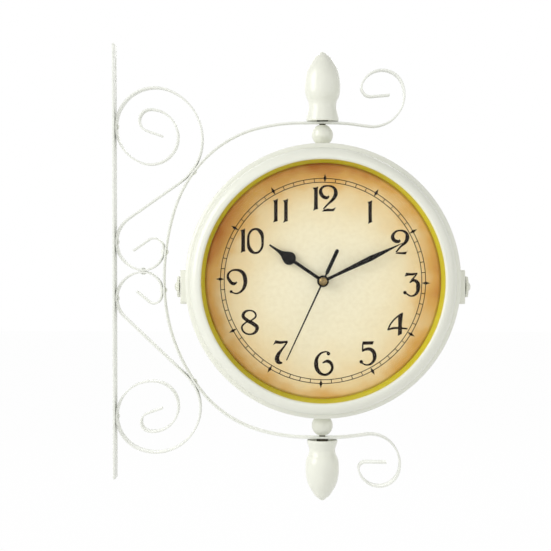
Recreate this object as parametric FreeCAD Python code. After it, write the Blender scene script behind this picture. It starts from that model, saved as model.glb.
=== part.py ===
import FreeCAD, Part
import math
import os

# Double sided station clock on a scrolled wall bracket, in millimetres.
# X runs out from the wall, +Z is up, and the front dial faces -Y.
# The origin is on the wall, midway between the two keyhole slots of the wall strip.

V = FreeCAD.Vector
X_AXIS = V(1, 0, 0)
Y_AXIS = V(0, 1, 0)
Z_AXIS = V(0, 0, 1)

# ---- wall strip: a flat bar that screws to the wall through two slots
strip_thickness = 1.8
strip_width = 18.0
strip_end_radius = 2.0
slot_spacing = 300.0
slot_length = 17.0
slot_width = 5.0
strip_above_slot = 22.0
strip_below_slot = 30.0

# ---- flat bar of the arm and the scrolls
bar_thickness = 1.5
bar_width = 12.0
paint_gap = 0.1

# ---- where the clock hangs
band_from_wall = 63.3
clock_drop = 18.9

# ---- head of the clock: a band with a deep bezel pushed over each of its two edges
band_outer_radius = 106.0
band_thickness = 1.0
sheet_thickness = 0.8
bezel_fit = 0.2
seam_gap = 0.4
head_depth = 84.0
bead_height = 2.3
bead_depth = 4.0
bead_setback = 16.5
bead_undercut = 0.6
groove_depth = 2.6
groove_run = 1.2
face_inset = 1.7
face_run = 2.2
shoulder_inset = 5.0
shoulder_setback = 1.6
crest_inset = 9.0
lip_inset = 11.2
lip_return = 3.2
lip_round = 1.2
lining_setback = 9.5
lining_gap = 1.3

# ---- glass, inner ring, dial and retainer, stacked behind the bezel's lip
glass_thickness = 2.0
glass_overlap = 4.3
glass_play = 1.2
stack_gap = 0.2
ring_depth = 9.0
ring_sheet = 0.8
ring_step_in = 2.5
ring_shadow = 0.2
dial_overlap = 1.0
dial_thickness = 0.8
retainer_thickness = 1.0
retainer_width = 9.0

# ---- studs, balls and finials above and below the head
stud_diameter = 5.0
stud_length = 56.0
stud_inside = 10.0
running_fit = 0.06
threaded_fit = 0.02
arm_above_band = 21.1
arm_below_band = 21.4
ball_diameter = 17.2
ball_neck_diameter = 7.0
ball_seat_gap = 0.3
ball_foot_gap = 0.1
ball_arm_gap = 1.0
ball_from_arm = 8.9
neck_notch_gap = 0.6
nut_across_flats = 8.0
nut_thickness = 3.5
upper_finial_height = 56.0
upper_finial_gap = 0.5
upper_finial_girth = 1.0
lower_finial_height = 49.5
lower_finial_gap = 1.2
lower_finial_girth = 0.95
finial_base_radius = 13.0
finial_base_round = 0.3
finial_waist_radius = 11.1
finial_waist_from_tip = 43.8
finial_crease_radius = 13.0
finial_crease_from_tip = 36.8
finial_belly_radius = 14.3
finial_belly_from_tip = 28.0
finial_shoulder_radius = 11.9
finial_shoulder_from_tip = 13.4
finial_tip_radius = 3.2
finial_tip_drop = 1.7
finial_mouth_radius = 12.2
finial_socket_radius = 9.0
finial_socket_depth = 9.0
finial_bore_depth = 20.0

# ---- side screws that clamp the two bezels where they meet
saddle_height = 27.5
saddle_width = 20.0
saddle_thickness = 7.1
saddle_corner_radius = 2.5
side_screw_drop = 5.2
side_screw_diameter = 4.0
side_screw_depth = 6.5
saddle_hollow = 2.0
knob_flange_diameter = 17.0
knob_flange_thickness = 2.0
knob_neck_diameter = 7.0
knob_neck_length = 0.7
knob_dome_diameter = 8.4
knob_dome_height = 2.4
knob_flutes = 24
knob_flute_diameter = 1.2
side_nut_across_flats = 7.0
side_nut_thickness = 3.2

# ---- rivets
rivet_diameter = 2.6
rivet_fit = 0.05
rivet_head_diameter = 4.8
rivet_head_height = 1.2
rivet_seat = 0.3
countersink_depth = 1.1

# ---- quartz movement behind each dial
movement_size = 56.0
movement_depth = 15.8
movement_wall = 1.2
movement_corner_radius = 3.0
cover_thickness = 1.0
cover_gap = 0.15
movement_gap = 0.2
movement_front_wall = 0.8
battery_diameter = 14.0
battery_length = 49.0
battery_tip_diameter = 5.4
battery_tip_length = 1.2
battery_clearance = 0.3
battery_web = 1.0
contact_thickness = 0.4
contact_width = 9.0
contact_gap = 0.1
contact_room = 0.9
board_length = 18.0
board_width = 12.0
board_thickness = 1.0
board_gap = 0.5
chip_side = 6.0
chip_height = 1.2
crystal_length = 6.0
crystal_diameter = 3.0
coil_length = 14.0
coil_gap = 1.5
coil_drop = 4.0
coil_cheek = 0.8
coil_core_end = 3.0
coil_diameter = 6.4
coil_core_side = 2.4
bush_diameter = 6.6
bush_length = 4.0
bush_nut_across_flats = 8.0
bush_nut_thickness = 2.0
knob_diameter = 13.0
setting_knob_height = 3.6
setting_knob_flutes = 20
setting_shaft_diameter = 3.0

# ---- motion work: minute pinion, minute wheel with its own pinion, and hour wheel, at 12 to 1
gear_module = 0.5
minute_pinion_teeth = 12
minute_wheel_teeth = 36
step_pinion_teeth = 10
hour_wheel_teeth = 40
gear_backlash = 0.16
wheel_thickness = 1.0
wheel_level_gap = 0.9
wheel_front_gap = 0.4
pinion_overlap = 0.2
setting_pivot_diameter = 1.6
hour_tube_diameter = 5.0
minute_tube_diameter = 3.2
second_arbor_diameter = 1.2
second_wheel_diameter = 9.0

# ---- hands
hand_thickness = 0.5
hand_above_bush = 0.4
hand_spacing = 0.8
second_hand_spacing = 0.4
tube_above_hub = 0.2
hub_diameter = 9.3
hour_hand_length = 51.2
hour_bulb_distance = 32.2
hour_bulb_diameter = 10.6
hour_arm_width = 2.6
hour_cheek_distance = 35.4
hour_neck_distance = 43.0
hour_neck_width = 2.3
hour_nose_waist = 4.4
hour_tip_width = 1.4
hour_hand_angle = 304.2
minute_hand_length = 70.0
minute_root_length = 12.0
minute_blade_distance = 42.0
minute_blade_width = 4.3
minute_root_width = 2.3
minute_hand_angle = 64.3
second_hand_length = 68.7
second_hand_width = 1.5
second_tail_length = 27.8
second_tail_start = 7.7
second_tail_neck = 6.3
second_tail_width = 2.9
second_hand_angle = 204.8
hub_height = 0.6
cap_diameter = 6.4
cap_height = 1.5

# ---- shape of the arm, walked from the studs in turns; each is a share of the band's
# ---- radius, and degrees
stud_level_length = 17.4
upper_arm_shares = [(1.3302, 15.0), (0.8491, 30.0), (0.9717, 28.0), (1.783, 17.0)]
lower_arm_shares = [(1.3396, 17.3), (0.8679, 35.8), (1.3585, 36.9)]
# ---- the arm's free ends, in turns of a radius and degrees
arm_dip = (120.0, 8.0)
arm_dip_level = 8.7
upper_curl_turns = [(25.4, 117.0), (17.4, 140.0), (7.5, 116.0)]
lower_curl_turns = [(24.0, 110.0), (16.8, 155.0), (5.4, 104.0)]
upper_curl_run = 11.7
lower_curl_run = 10.2
upper_curl_tail = 14.5
lower_curl_tail = 17.0

# ---- shape of the scrolls
scroll_meeting_drop = 11.5
upper_scroll_sizes = {
    "side": 31.3,
    "side_turn_in": 68.0,
    "side_turn_out": 111.0,
    "inner": 22.2,
    "inner_turn": 203.0,
    "hook": 8.9,
    "hook_turn": 160.0,
    "tail": 13.3,
    "outer": 42.4,
    "foot": 23.0,
    "foot_turn": 77.0,
    "foot_inner_turn": 110.0,
    "foot_hook": 7.9,
    "foot_hook_turn": 118.0,
    "foot_tail": 14.8,
}
lower_scroll_sizes = {
    "side": 28.6,
    "side_turn_in": 97.0,
    "side_turn_out": 66.0,
    "inner": 20.5,
    "inner_turn": 183.0,
    "hook": 7.6,
    "hook_turn": 151.0,
    "tail": 12.6,
    "outer": 36.2,
    "foot": 21.2,
    "foot_turn": 94.0,
    "foot_inner_turn": 112.0,
    "foot_hook": 5.8,
    "foot_hook_turn": 104.0,
    "foot_tail": 13.1,
}


# ======== sizes that follow from the ones above ========
clock_x = band_outer_radius + band_from_wall
clock_z = -clock_drop
bezel_inner_radius = band_outer_radius + bezel_fit
bezel_outer_radius = bezel_inner_radius + sheet_thickness
bead_radius = bezel_outer_radius + bead_height
crest_radius = bezel_outer_radius - crest_inset
lip_radius = bezel_outer_radius - lip_inset
crest_depth = head_depth / 2
glass_front = crest_depth - lip_return - sheet_thickness
glass_back = glass_front - glass_thickness
glass_radius = lip_radius + glass_overlap
ring_front = glass_back - stack_gap
dial_front = ring_front - ring_depth
dial_back = dial_front - dial_thickness
dial_radius = glass_radius + dial_overlap
retainer_front = dial_back
retainer_back = retainer_front - retainer_thickness
band_half_depth = retainer_back - stack_gap
movement_front = dial_back - movement_gap
movement_back = movement_front - movement_depth
arm_above_clock = band_outer_radius + arm_above_band
arm_below_clock = band_outer_radius + arm_below_band
arm_top_z = clock_z + arm_above_clock
arm_bottom_z = clock_z - arm_below_clock
scroll_meeting_height = -scroll_meeting_drop
coarse_spacing = bar_thickness / 2
fine_spacing = bar_thickness / 5
pair_distance = gear_module * (minute_pinion_teeth + minute_wheel_teeth) / 2
step_module = 2 * pair_distance / (step_pinion_teeth + hour_wheel_teeth)


# ======== helpers for solids ========
def rod(radius, length, base, axis):
    return Part.makeCylinder(radius, length, base, axis)


def depth_rod(radius, near, far, x=0.0, z=0.0):
    """A cylinder along the clock's depth, between two distances in front of its middle plane."""
    return Part.makeCylinder(radius, far - near, V(x, -near, z), V(0, -1, 0))


def depth_box(width, height, near, far, x=0.0, z=0.0):
    return Part.makeBox(width, far - near, height, V(x - width / 2, -far, z - height / 2))


def revolve_about_depth(points_or_edges):
    """Turns a closed outline in the X,Y plane about the clock's depth axis."""
    face = Part.Face(Part.Wire(points_or_edges))
    return face.revolve(V(0, 0, 0), Y_AXIS, 360)


def line(a, b):
    return Part.LineSegment(a, b).toShape()


def arc(a, through, b):
    return Part.Arc(a, through, b).toShape()


def prism(outline, height, base, axis):
    """A right prism on a closed polygon that is drawn in the X,Y plane."""
    face = Part.Face(Part.makePolygon(outline + [outline[0]]))
    solid = face.extrude(V(0, 0, height))
    solid.Placement = FreeCAD.Placement(base, FreeCAD.Rotation(Z_AXIS, axis))
    return solid


def hexagon(across_flats, height, hole_radius, base, axis):
    corner = across_flats / math.sqrt(3)
    outline = []
    for k in range(6):
        turn = math.radians(60 * k)
        outline.append(V(corner * math.cos(turn), corner * math.sin(turn), 0))
    nut = prism(outline, height, base, axis)
    return nut.cut(rod(hole_radius, height, base, axis))


def dome(radius, height, base, axis):
    """The cap of a ball that stands on a point and swells along an axis."""
    ball = (radius**2 + height**2) / (2 * height)
    latitude = math.degrees(math.asin((ball - height) / ball))
    centre = base.sub(axis * (ball - height))
    return Part.makeSphere(ball, centre, axis, latitude, 90, 360)


def fluted_disc(radius, height, flutes, flute_radius, base, axis):
    """A disc with grooves round its edge for the fingers."""
    disc = rod(radius, height, V(0, 0, 0), Z_AXIS)
    grooves = []
    for k in range(flutes):
        turn = 2 * math.pi * k / flutes
        foot = V(radius * math.cos(turn), radius * math.sin(turn), 0)
        grooves.append(rod(flute_radius, height, foot, Z_AXIS))
    disc = disc.cut(Part.makeCompound(grooves))
    disc.Placement = FreeCAD.Placement(base, FreeCAD.Rotation(Z_AXIS, axis))
    return disc


# ======== helpers for bent flat bar ========
def turn_from(start, heading, radius, sweep):
    """One turn of a bar's centre line in the X,Z plane. A positive sweep turns it to the left."""
    side = 1.0 if sweep > 0 else -1.0
    h = math.radians(heading)
    centre = V(start.x - side * radius * math.sin(h), 0, start.z + side * radius * math.cos(h))
    return {"start": start, "heading": heading, "radius": radius, "sweep": sweep, "centre": centre}


def straight_from(start, heading, length):
    return {"start": start, "heading": heading, "radius": 0.0, "length": length}


def point_on(piece, share, offset=0.0):
    """A point at a share of a piece of centre line, moved to its left by an offset."""
    if piece["radius"] == 0.0:
        h = math.radians(piece["heading"])
        run = piece["length"] * share
        foot = piece["start"]
        return V(
            foot.x + run * math.cos(h) - offset * math.sin(h),
            0,
            foot.z + run * math.sin(h) + offset * math.cos(h),
        )
    side = 1.0 if piece["sweep"] > 0 else -1.0
    h = math.radians(piece["heading"] + piece["sweep"] * share)
    reach = piece["radius"] - side * offset
    centre = piece["centre"]
    return V(centre.x + side * reach * math.sin(h), 0, centre.z - side * reach * math.cos(h))


def end_heading(piece):
    return piece["heading"] + piece.get("sweep", 0.0)


def walk(start, heading, steps):
    """Lays turns (radius, degrees) and straight runs (length,) one after another."""
    pieces = []
    for step in steps:
        if len(step) == 1:
            piece = straight_from(start, heading, step[0])
        else:
            piece = turn_from(start, heading, step[0], step[1])
        pieces.append(piece)
        start = point_on(piece, 1.0)
        heading = end_heading(piece)
    return pieces


def edge_beside(piece, offset, backwards):
    first, last = (1.0, 0.0) if backwards else (0.0, 1.0)
    a = point_on(piece, first, offset)
    b = point_on(piece, last, offset)
    if piece["radius"] == 0.0:
        return line(a, b)
    return arc(a, point_on(piece, 0.5, offset), b)


def flat_bar(pieces):
    """Flat bar on edge, bent along a centre line."""
    half = bar_thickness / 2
    edges = [edge_beside(piece, half, False) for piece in pieces]
    edges.append(line(point_on(pieces[-1], 1.0, half), point_on(pieces[-1], 1.0, -half)))
    edges += [edge_beside(piece, -half, True) for piece in reversed(pieces)]
    edges.append(line(point_on(pieces[0], 0.0, -half), point_on(pieces[0], 0.0, half)))
    face = Part.Face(Part.Wire(edges))
    face.translate(V(0, -bar_width / 2, 0))
    return face.extrude(V(0, bar_width, 0))


def samples(pieces, spacing):
    """Points along a centre line, about one spacing apart."""
    points = []
    for piece in pieces:
        if piece["radius"] == 0.0:
            length = piece["length"]
        else:
            length = piece["radius"] * math.radians(abs(piece["sweep"]))
        count = max(2, int(length / spacing))
        for k in range(count + 1):
            points.append(point_on(piece, k / count))
    return points


def nearest_pair(first, second):
    """The two closest points of two lists, and how far apart they are."""
    best = (1e9, None, None)
    for a in first:
        for b in second:
            apart = math.hypot(a.x - b.x, a.z - b.z)
            if apart < best[0]:
                best = (apart, a, b)
    return best


def bisect(too_near, low, high):
    """The value between low, which is clear, and high, which is too near, where the two meet."""
    for _ in range(18):
        middle = (low + high) / 2
        if too_near(middle):
            high = middle
        else:
            low = middle
    return low


# ======== bracket ========
def arm_line():
    """The arm's centre line: upper curl, over the top stud, round the clock, and the lower curl."""
    top = V(clock_x, 0, arm_top_z)
    bottom = V(clock_x, 0, arm_bottom_z)
    over_turns = [(share * band_outer_radius, sweep) for share, sweep in upper_arm_shares]
    over = walk(top, 180, [(stud_level_length,)] + over_turns)
    under_turns = [(share * band_outer_radius, -sweep) for share, sweep in lower_arm_shares]
    reach = sum_of_reach(under_turns)
    left = point_on(over[-1], 1.0)
    under_start = left.x + reach
    under = walk(V(under_start, 0, bottom.z), 180, under_turns)
    low = point_on(under[-1], 1.0)
    upright = [straight_from(left, 270, left.z - low.z)]
    floor = [straight_from(bottom, 180, bottom.x - under_start)]
    return over, upright, floor + under


def sum_of_reach(turns):
    """How far turns that begin level carry a bar sideways."""
    heading = 0.0
    reach = 0.0
    for radius, sweep in turns:
        after = heading + abs(sweep)
        reach += radius * (math.sin(math.radians(after)) - math.sin(math.radians(heading)))
        heading = after
    return reach


def curl_line(z, side, turns, run, tail):
    """The free end of the arm: side is 1 for the upper curl and -1 for the lower one."""
    dip_radius, dip_sweep = arm_dip
    steps = [(arm_dip_level,), (dip_radius, -side * dip_sweep), (run,)]
    steps += [(radius, side * sweep) for radius, sweep in turns]
    steps.append((tail,))
    return walk(V(clock_x, 0, z), 0, steps)


def scroll_line(side, sizes, foot_inner, loop_z):
    """A scroll's centre line in two lists of pieces, both from where its loop touches the strip.

    It is worked out as if it stood on the meeting height, and side is -1 to hang it below.
    Nothing comes back where the loop is too near the foot for the straight run between them.
    """
    wall_side = strip_thickness + paint_gap + bar_thickness / 2
    foot = sizes["foot"]
    lowest_turn = math.radians(min(sizes["foot_turn"], 90.0))
    meeting = (bar_thickness + paint_gap) / 2
    foot_z = meeting + foot_inner + (foot - foot_inner) * math.sin(lowest_turn)
    foot_centre = V(wall_side + foot, 0, foot_z)
    touch = V(wall_side, 0, loop_z)
    inwards = walk(
        touch,
        270,
        [
            (sizes["side"], sizes["side_turn_in"]),
            (sizes["inner"], sizes["inner_turn"]),
            (sizes["hook"], sizes["hook_turn"]),
            (sizes["tail"],),
        ],
    )
    outwards = walk(touch, 90, [(sizes["side"], -sizes["side_turn_out"])])
    corner = point_on(outwards[0], 1.0)
    heading = end_heading(outwards[0])
    h = math.radians(heading)
    outer = sizes["outer"]
    outer_centre = V(corner.x + outer * math.sin(h), 0, corner.z - outer * math.cos(h))
    across = foot_centre.sub(outer_centre)
    if across.Length < outer + foot + 1.0:
        return None
    bearing = math.degrees(math.atan2(across.z, across.x))
    slope = bearing - math.degrees(math.asin((outer + foot) / across.Length))
    run = math.sqrt(across.Length**2 - (outer + foot) ** 2)
    outwards += walk(
        corner,
        heading,
        [
            (outer, -((heading - slope) % 360)),
            (run,),
            (foot, (270 - slope) % 360 + sizes["foot_turn"]),
            (foot_inner, sizes["foot_inner_turn"]),
            (sizes["foot_hook"], sizes["foot_hook_turn"]),
            (sizes["foot_tail"],),
        ],
    )
    return place(inwards, side), place(outwards, side)


def place(pieces, side):
    """Moves pieces to the meeting height, mirrored where side is -1."""
    steps = []
    for piece in pieces:
        if piece["radius"] == 0.0:
            steps.append((piece["length"],))
        else:
            steps.append((piece["radius"], side * piece["sweep"]))
    start = pieces[0]["start"]
    moved = V(start.x, 0, scroll_meeting_height + side * start.z)
    return walk(moved, side * pieces[0]["heading"], steps)


def fitted_scroll(side, sizes, arm_points):
    """A scroll whose foot fills the space beside the arm and whose loop touches the arm."""
    near = bar_thickness + paint_gap
    far = 3 * (sizes["outer"] + sizes["foot"])
    near_foot = sizes["foot"] + sizes["side"]

    def foot_too_near(radius):
        outwards = scroll_line(side, sizes, radius, far)[1]
        return nearest_pair(samples(outwards[4:6], coarse_spacing), arm_points)[0] < near

    foot_inner = bisect(foot_too_near, sizes["foot_hook"], sizes["foot"])

    def loop_too_near(loop_z):
        lines = scroll_line(side, sizes, foot_inner, loop_z)
        if lines is None:
            return True
        return nearest_pair(samples(lines[1][1:3], coarse_spacing), arm_points)[0] < near

    loop_z = bisect(loop_too_near, far, near_foot)
    return scroll_line(side, sizes, foot_inner, loop_z)


def rivet_hole(point, direction):
    reach = 4 * bar_thickness
    radius = rivet_diameter / 2 + rivet_fit
    return rod(radius, 2 * reach, point.sub(direction * reach), direction)


def domed_head(point, direction):
    """A round rivet head that stands on a point and swells along a direction."""
    return dome(rivet_head_diameter / 2, rivet_head_height, point, direction)


def bar_rivet(point, direction):
    """A rivet through two bars that touch at a point, with a round head each side."""
    half = bar_thickness + paint_gap / 2 + rivet_seat
    shank = rod(rivet_diameter / 2, 2 * half, point.sub(direction * half), direction)
    first = domed_head(point.add(direction * half), direction)
    second = domed_head(point.sub(direction * half), direction * -1)
    return shank.fuse([first, second]).removeSplitter()


def strip_rivet(z):
    """A rivet from the strip's back, countersunk there, to the inside of a scroll."""
    end = strip_thickness + paint_gap + bar_thickness + rivet_seat
    shank = rod(rivet_diameter / 2, end, V(0, 0, z), X_AXIS)
    sink = Part.makeCone(
        rivet_head_diameter / 2, rivet_diameter / 2, countersink_depth, V(0, 0, z), X_AXIS
    )
    return shank.fuse([sink, domed_head(V(end, 0, z), X_AXIS)]).removeSplitter()


def slot_cutter(z):
    half_run = (slot_length - slot_width) / 2
    reach = strip_thickness + 2
    cut = Part.makeBox(reach, slot_width, 2 * half_run, V(-1, -slot_width / 2, z - half_run))
    for end in (-half_run, half_run):
        cut = cut.fuse(rod(slot_width / 2, reach, V(-1, 0, z + end), X_AXIS))
    return cut


def make_strip(rivet_heights):
    top = slot_spacing / 2 + strip_above_slot
    bottom = -slot_spacing / 2 - strip_below_slot
    strip = Part.makeBox(strip_thickness, strip_width, top - bottom, V(0, -strip_width / 2, bottom))
    corners = [edge for edge in strip.Edges if abs(edge.Length - strip_thickness) < 1e-6]
    strip = strip.makeFillet(strip_end_radius, corners)
    for z in (-slot_spacing / 2, slot_spacing / 2):
        strip = strip.cut(slot_cutter(z))
    for z in rivet_heights:
        strip = strip.cut(rivet_hole(V(0, 0, z), X_AXIS))
        strip = strip.cut(
            Part.makeCone(
                rivet_head_diameter / 2 + rivet_fit,
                rivet_diameter / 2 + rivet_fit,
                countersink_depth,
                V(0, 0, z),
                X_AXIS,
            )
        )
    return strip


def make_bracket():
    over, upright, under = arm_line()
    arm_points = samples(over[1:] + upright + under, coarse_spacing)
    upper_in, upper_out = fitted_scroll(1, upper_scroll_sizes, arm_points)
    lower_in, lower_out = fitted_scroll(-1, lower_scroll_sizes, arm_points)

    joints = []
    for outwards in (upper_out, lower_out):
        for turn in (outwards[1], outwards[4]):
            _, a, b = nearest_pair(samples([turn], fine_spacing), arm_points)
            touch = a.add(b) * 0.5
            direction = touch.sub(turn["centre"])
            direction.normalize()
            joints.append((touch, direction))
    foot_bottom = upper_out[4]["centre"]
    joints.append((V(foot_bottom.x, 0, scroll_meeting_height), Z_AXIS))

    strip_heights = []
    for inwards, outwards in ((upper_in, upper_out), (lower_in, lower_out)):
        strip_heights.append(inwards[0]["start"].z)
        strip_heights.append(outwards[3]["centre"].z)

    upper_curl = curl_line(arm_top_z, 1, upper_curl_turns, upper_curl_run, upper_curl_tail)
    lower_curl = curl_line(arm_bottom_z, -1, lower_curl_turns, lower_curl_run, lower_curl_tail)
    lengths = [flat_bar(part) for part in (upright, under, upper_curl, lower_curl)]
    arm = flat_bar(over).fuse(lengths).removeSplitter()
    stud_hole = stud_diameter / 2 + running_fit
    for z in (arm_top_z, arm_bottom_z):
        arm = arm.cut(rod(stud_hole, 4 * bar_thickness, V(clock_x, 0, z - 2 * bar_thickness), Z_AXIS))
    upper = flat_bar(upper_in).fuse(flat_bar(upper_out)).removeSplitter()
    lower = flat_bar(lower_in).fuse(flat_bar(lower_out)).removeSplitter()
    for point, direction in joints:
        hole = rivet_hole(point, direction)
        arm = arm.cut(hole)
        upper = upper.cut(hole)
        lower = lower.cut(hole)
    for z in strip_heights:
        hole = rivet_hole(V(strip_thickness, 0, z), X_AXIS)
        upper = upper.cut(hole)
        lower = lower.cut(hole)
    return {
        "wall_strip": make_strip(strip_heights),
        "clock_arm": arm,
        "upper_scroll": upper,
        "lower_scroll": lower,
        "strip_rivets": Part.makeCompound([strip_rivet(z) for z in strip_heights]),
        "bar_rivets": Part.makeCompound([bar_rivet(p, d) for p, d in joints]),
    }


# ======== head: band, studs, balls, side screws ========
# The head is drawn about its own centre and moved to its place at the end.
def knob_face_radius():
    """How far the saddles' outer faces stand from the clock's axis."""
    return bezel_outer_radius + ball_seat_gap + saddle_thickness


def make_band():
    outer = depth_rod(band_outer_radius, -band_half_depth, band_half_depth)
    inner = depth_rod(band_outer_radius - band_thickness, -head_depth, head_depth)
    band = outer.cut(inner)
    reach = 2 * bezel_outer_radius
    band = band.cut(rod(stud_diameter / 2 + running_fit, reach, V(0, 0, -reach / 2), Z_AXIS))
    screw = side_screw_diameter / 2 + running_fit
    return band.cut(rod(screw, reach, V(-reach / 2, 0, -side_screw_drop), X_AXIS))


def make_studs():
    start = band_outer_radius - stud_inside
    up = rod(stud_diameter / 2, stud_length, V(0, 0, start), Z_AXIS)
    down = rod(stud_diameter / 2, stud_length, V(0, 0, -start), Z_AXIS * -1)
    return up, down


def make_stud_nuts():
    """Two hexagon nuts on each stud: inside the band, and past the arm in the finial's socket."""
    half = nut_across_flats / math.sqrt(3)
    seat = math.sqrt((band_outer_radius - band_thickness) ** 2 - half**2) - threaded_fit
    past_arm = bar_thickness / 2 + ball_seat_gap
    hole = stud_diameter / 2 + threaded_fit
    lows = [
        seat - nut_thickness,
        arm_above_clock + past_arm,
        -seat,
        -arm_below_clock - past_arm - nut_thickness,
    ]
    nuts = [hexagon(nut_across_flats, nut_thickness, hole, V(0, 0, low), Z_AXIS) for low in lows]
    return Part.makeCompound(nuts)


def make_ball(arm_height):
    """A ball threaded on the stud, with a neck that stands on the band and a flat near the arm."""
    foot = band_outer_radius + ball_foot_gap
    arm_face = arm_height - bar_thickness / 2
    head = arm_face - ball_arm_gap
    middle = arm_face - ball_from_arm
    ball = Part.makeSphere(ball_diameter / 2, V(0, 0, middle))
    bottom = bezel_outer_radius + ball_seat_gap
    limit = rod(ball_diameter, head - bottom, V(0, 0, bottom), Z_AXIS)
    ball = ball.common(limit)
    neck = rod(ball_neck_diameter / 2, middle - foot, V(0, 0, foot), Z_AXIS)
    ball = ball.fuse(neck).removeSplitter()
    return ball.cut(rod(stud_diameter / 2 + threaded_fit, arm_face, V(0, 0, 0), Z_AXIS))


def make_saddle():
    """The block on the right that bridges the seam: hollowed to fit the bezels, flat outside."""
    face = knob_face_radius()
    root = bezel_outer_radius - saddle_hollow
    low = -side_screw_drop - saddle_height / 2
    corner = V(root, -saddle_width / 2, low)
    block = Part.makeBox(face - root, saddle_width, saddle_height, corner)
    corners = [edge for edge in block.Edges if abs(edge.Length - (face - root)) < 1e-6]
    block = block.makeFillet(saddle_corner_radius, corners)
    block = block.cut(depth_rod(bezel_outer_radius + ball_seat_gap, -saddle_width, saddle_width))
    hole = side_screw_diameter / 2 + running_fit
    return block.cut(rod(hole, face, V(0, 0, -side_screw_drop), X_AXIS))


def make_side_nut():
    half = side_nut_across_flats / math.sqrt(3)
    edge = half + side_screw_drop
    seat = math.sqrt((band_outer_radius - band_thickness) ** 2 - edge**2) - threaded_fit
    hole = side_screw_diameter / 2 + running_fit
    base = V(seat - side_nut_thickness, 0, -side_screw_drop)
    return hexagon(side_nut_across_flats, side_nut_thickness, hole, base, X_AXIS)


def make_side_knob():
    """A thumb screw: shank, short neck, fluted flange and a domed end."""
    z = -side_screw_drop
    start = knob_face_radius() + ball_seat_gap
    inner_end = band_outer_radius - side_screw_depth
    flange_start = start + knob_neck_length
    flange_end = flange_start + knob_flange_thickness
    shank = rod(side_screw_diameter / 2, flange_start - inner_end, V(inner_end, 0, z), X_AXIS)
    neck = rod(knob_neck_diameter / 2, knob_neck_length, V(start, 0, z), X_AXIS)
    flange = fluted_disc(
        knob_flange_diameter / 2,
        knob_flange_thickness,
        knob_flutes,
        knob_flute_diameter / 2,
        V(flange_start, 0, z),
        X_AXIS,
    )
    end = dome(knob_dome_diameter / 2, knob_dome_height, V(flange_end, 0, z), X_AXIS)
    return shank.fuse([neck, flange, end]).removeSplitter()


def mirrored(shape):
    """The same piece on the other side of the clock's axis."""
    return shape.mirror(V(0, 0, 0), X_AXIS)


def finial_outline(height, girth):
    """Half outline of a finial that stands on Z = 0, with its socket and bore for the stud."""
    base = finial_base_radius * girth
    waist = finial_waist_radius * girth
    crease = finial_crease_radius * girth
    belly = finial_belly_radius * girth
    mouth = finial_mouth_radius * girth
    socket = finial_socket_radius * girth
    waist_height = height - finial_waist_from_tip * girth
    crease_height = height - finial_crease_from_tip * girth
    belly_height = height - finial_belly_from_tip * girth
    shoulder_height = height - finial_shoulder_from_tip * girth
    bore = stud_diameter / 2 + running_fit
    bore_end = finial_socket_depth + finial_bore_depth
    tip = finial_tip_radius * girth
    tip_ball = (tip**2 + finial_tip_drop**2) / (2 * finial_tip_drop)
    tip_fall = tip_ball - math.sqrt(tip_ball**2 - (tip / 2) ** 2)
    top = V(0, 0, height)
    flare = V(base, 0, 0.23 * waist_height)
    waist_point = V(waist, 0, waist_height)
    crease_point = V(crease, 0, crease_height)
    belly_point = V(belly, 0, belly_height)
    tip_point = V(tip, 0, height - finial_tip_drop)
    flare_mid = V(0.53 * base + 0.47 * waist, 0, 0.57 * waist_height)
    neck_mid = V(0.74 * waist + 0.26 * crease, 0, 0.43 * waist_height + 0.57 * crease_height)
    swell = V(0.27 * crease + 0.73 * belly, 0, 0.625 * crease_height + 0.375 * belly_height)
    shoulder = V(finial_shoulder_radius * girth, 0, shoulder_height)
    corners = [
        top,
        V(0, 0, bore_end),
        V(bore, 0, bore_end),
        V(bore, 0, finial_socket_depth),
        V(socket, 0, finial_socket_depth),
        V(mouth, 0, 0),
        V(base - finial_base_round, 0, 0),
        flare,
    ]
    edges = [line(corners[k], corners[k + 1]) for k in range(len(corners) - 1)]
    edges.append(arc(flare, flare_mid, waist_point))
    edges.append(arc(waist_point, neck_mid, crease_point))
    edges.append(arc(crease_point, swell, belly_point))
    edges.append(arc(belly_point, shoulder, tip_point))
    edges.append(arc(tip_point, V(tip / 2, 0, height - tip_fall), top))
    return edges


def make_finial(height, girth, arm_height, gap):
    """A hollow-footed finial with a bore for the stud, standing over the arm."""
    face = Part.Face(Part.Wire(finial_outline(height, girth)))
    body = face.revolve(V(0, 0, 0), Z_AXIS, 360)
    body.translate(V(0, 0, arm_height + bar_thickness / 2 + gap))
    return body


def upside_down(shape):
    return shape.mirror(V(0, 0, 0), Z_AXIS)


def make_head():
    upper_stud, lower_stud = make_studs()
    saddle = make_saddle()
    nut = make_side_nut()
    knob = make_side_knob()
    upper_finial = make_finial(
        upper_finial_height, upper_finial_girth, arm_above_clock, upper_finial_gap
    )
    lower_finial = make_finial(
        lower_finial_height, lower_finial_girth, arm_below_clock, lower_finial_gap
    )
    return {
        "case_band": make_band(),
        "upper_stud": upper_stud,
        "lower_stud": lower_stud,
        "stud_nuts": make_stud_nuts(),
        "upper_ball": make_ball(arm_above_clock),
        "lower_ball": upside_down(make_ball(arm_below_clock)),
        "side_saddles": Part.makeCompound([saddle, mirrored(saddle)]),
        "side_nuts": Part.makeCompound([nut, mirrored(nut)]),
        "upper_finial": upper_finial,
        "lower_finial": upside_down(lower_finial),
        "right_knob": knob,
        "left_knob": mirrored(knob),
    }


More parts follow.
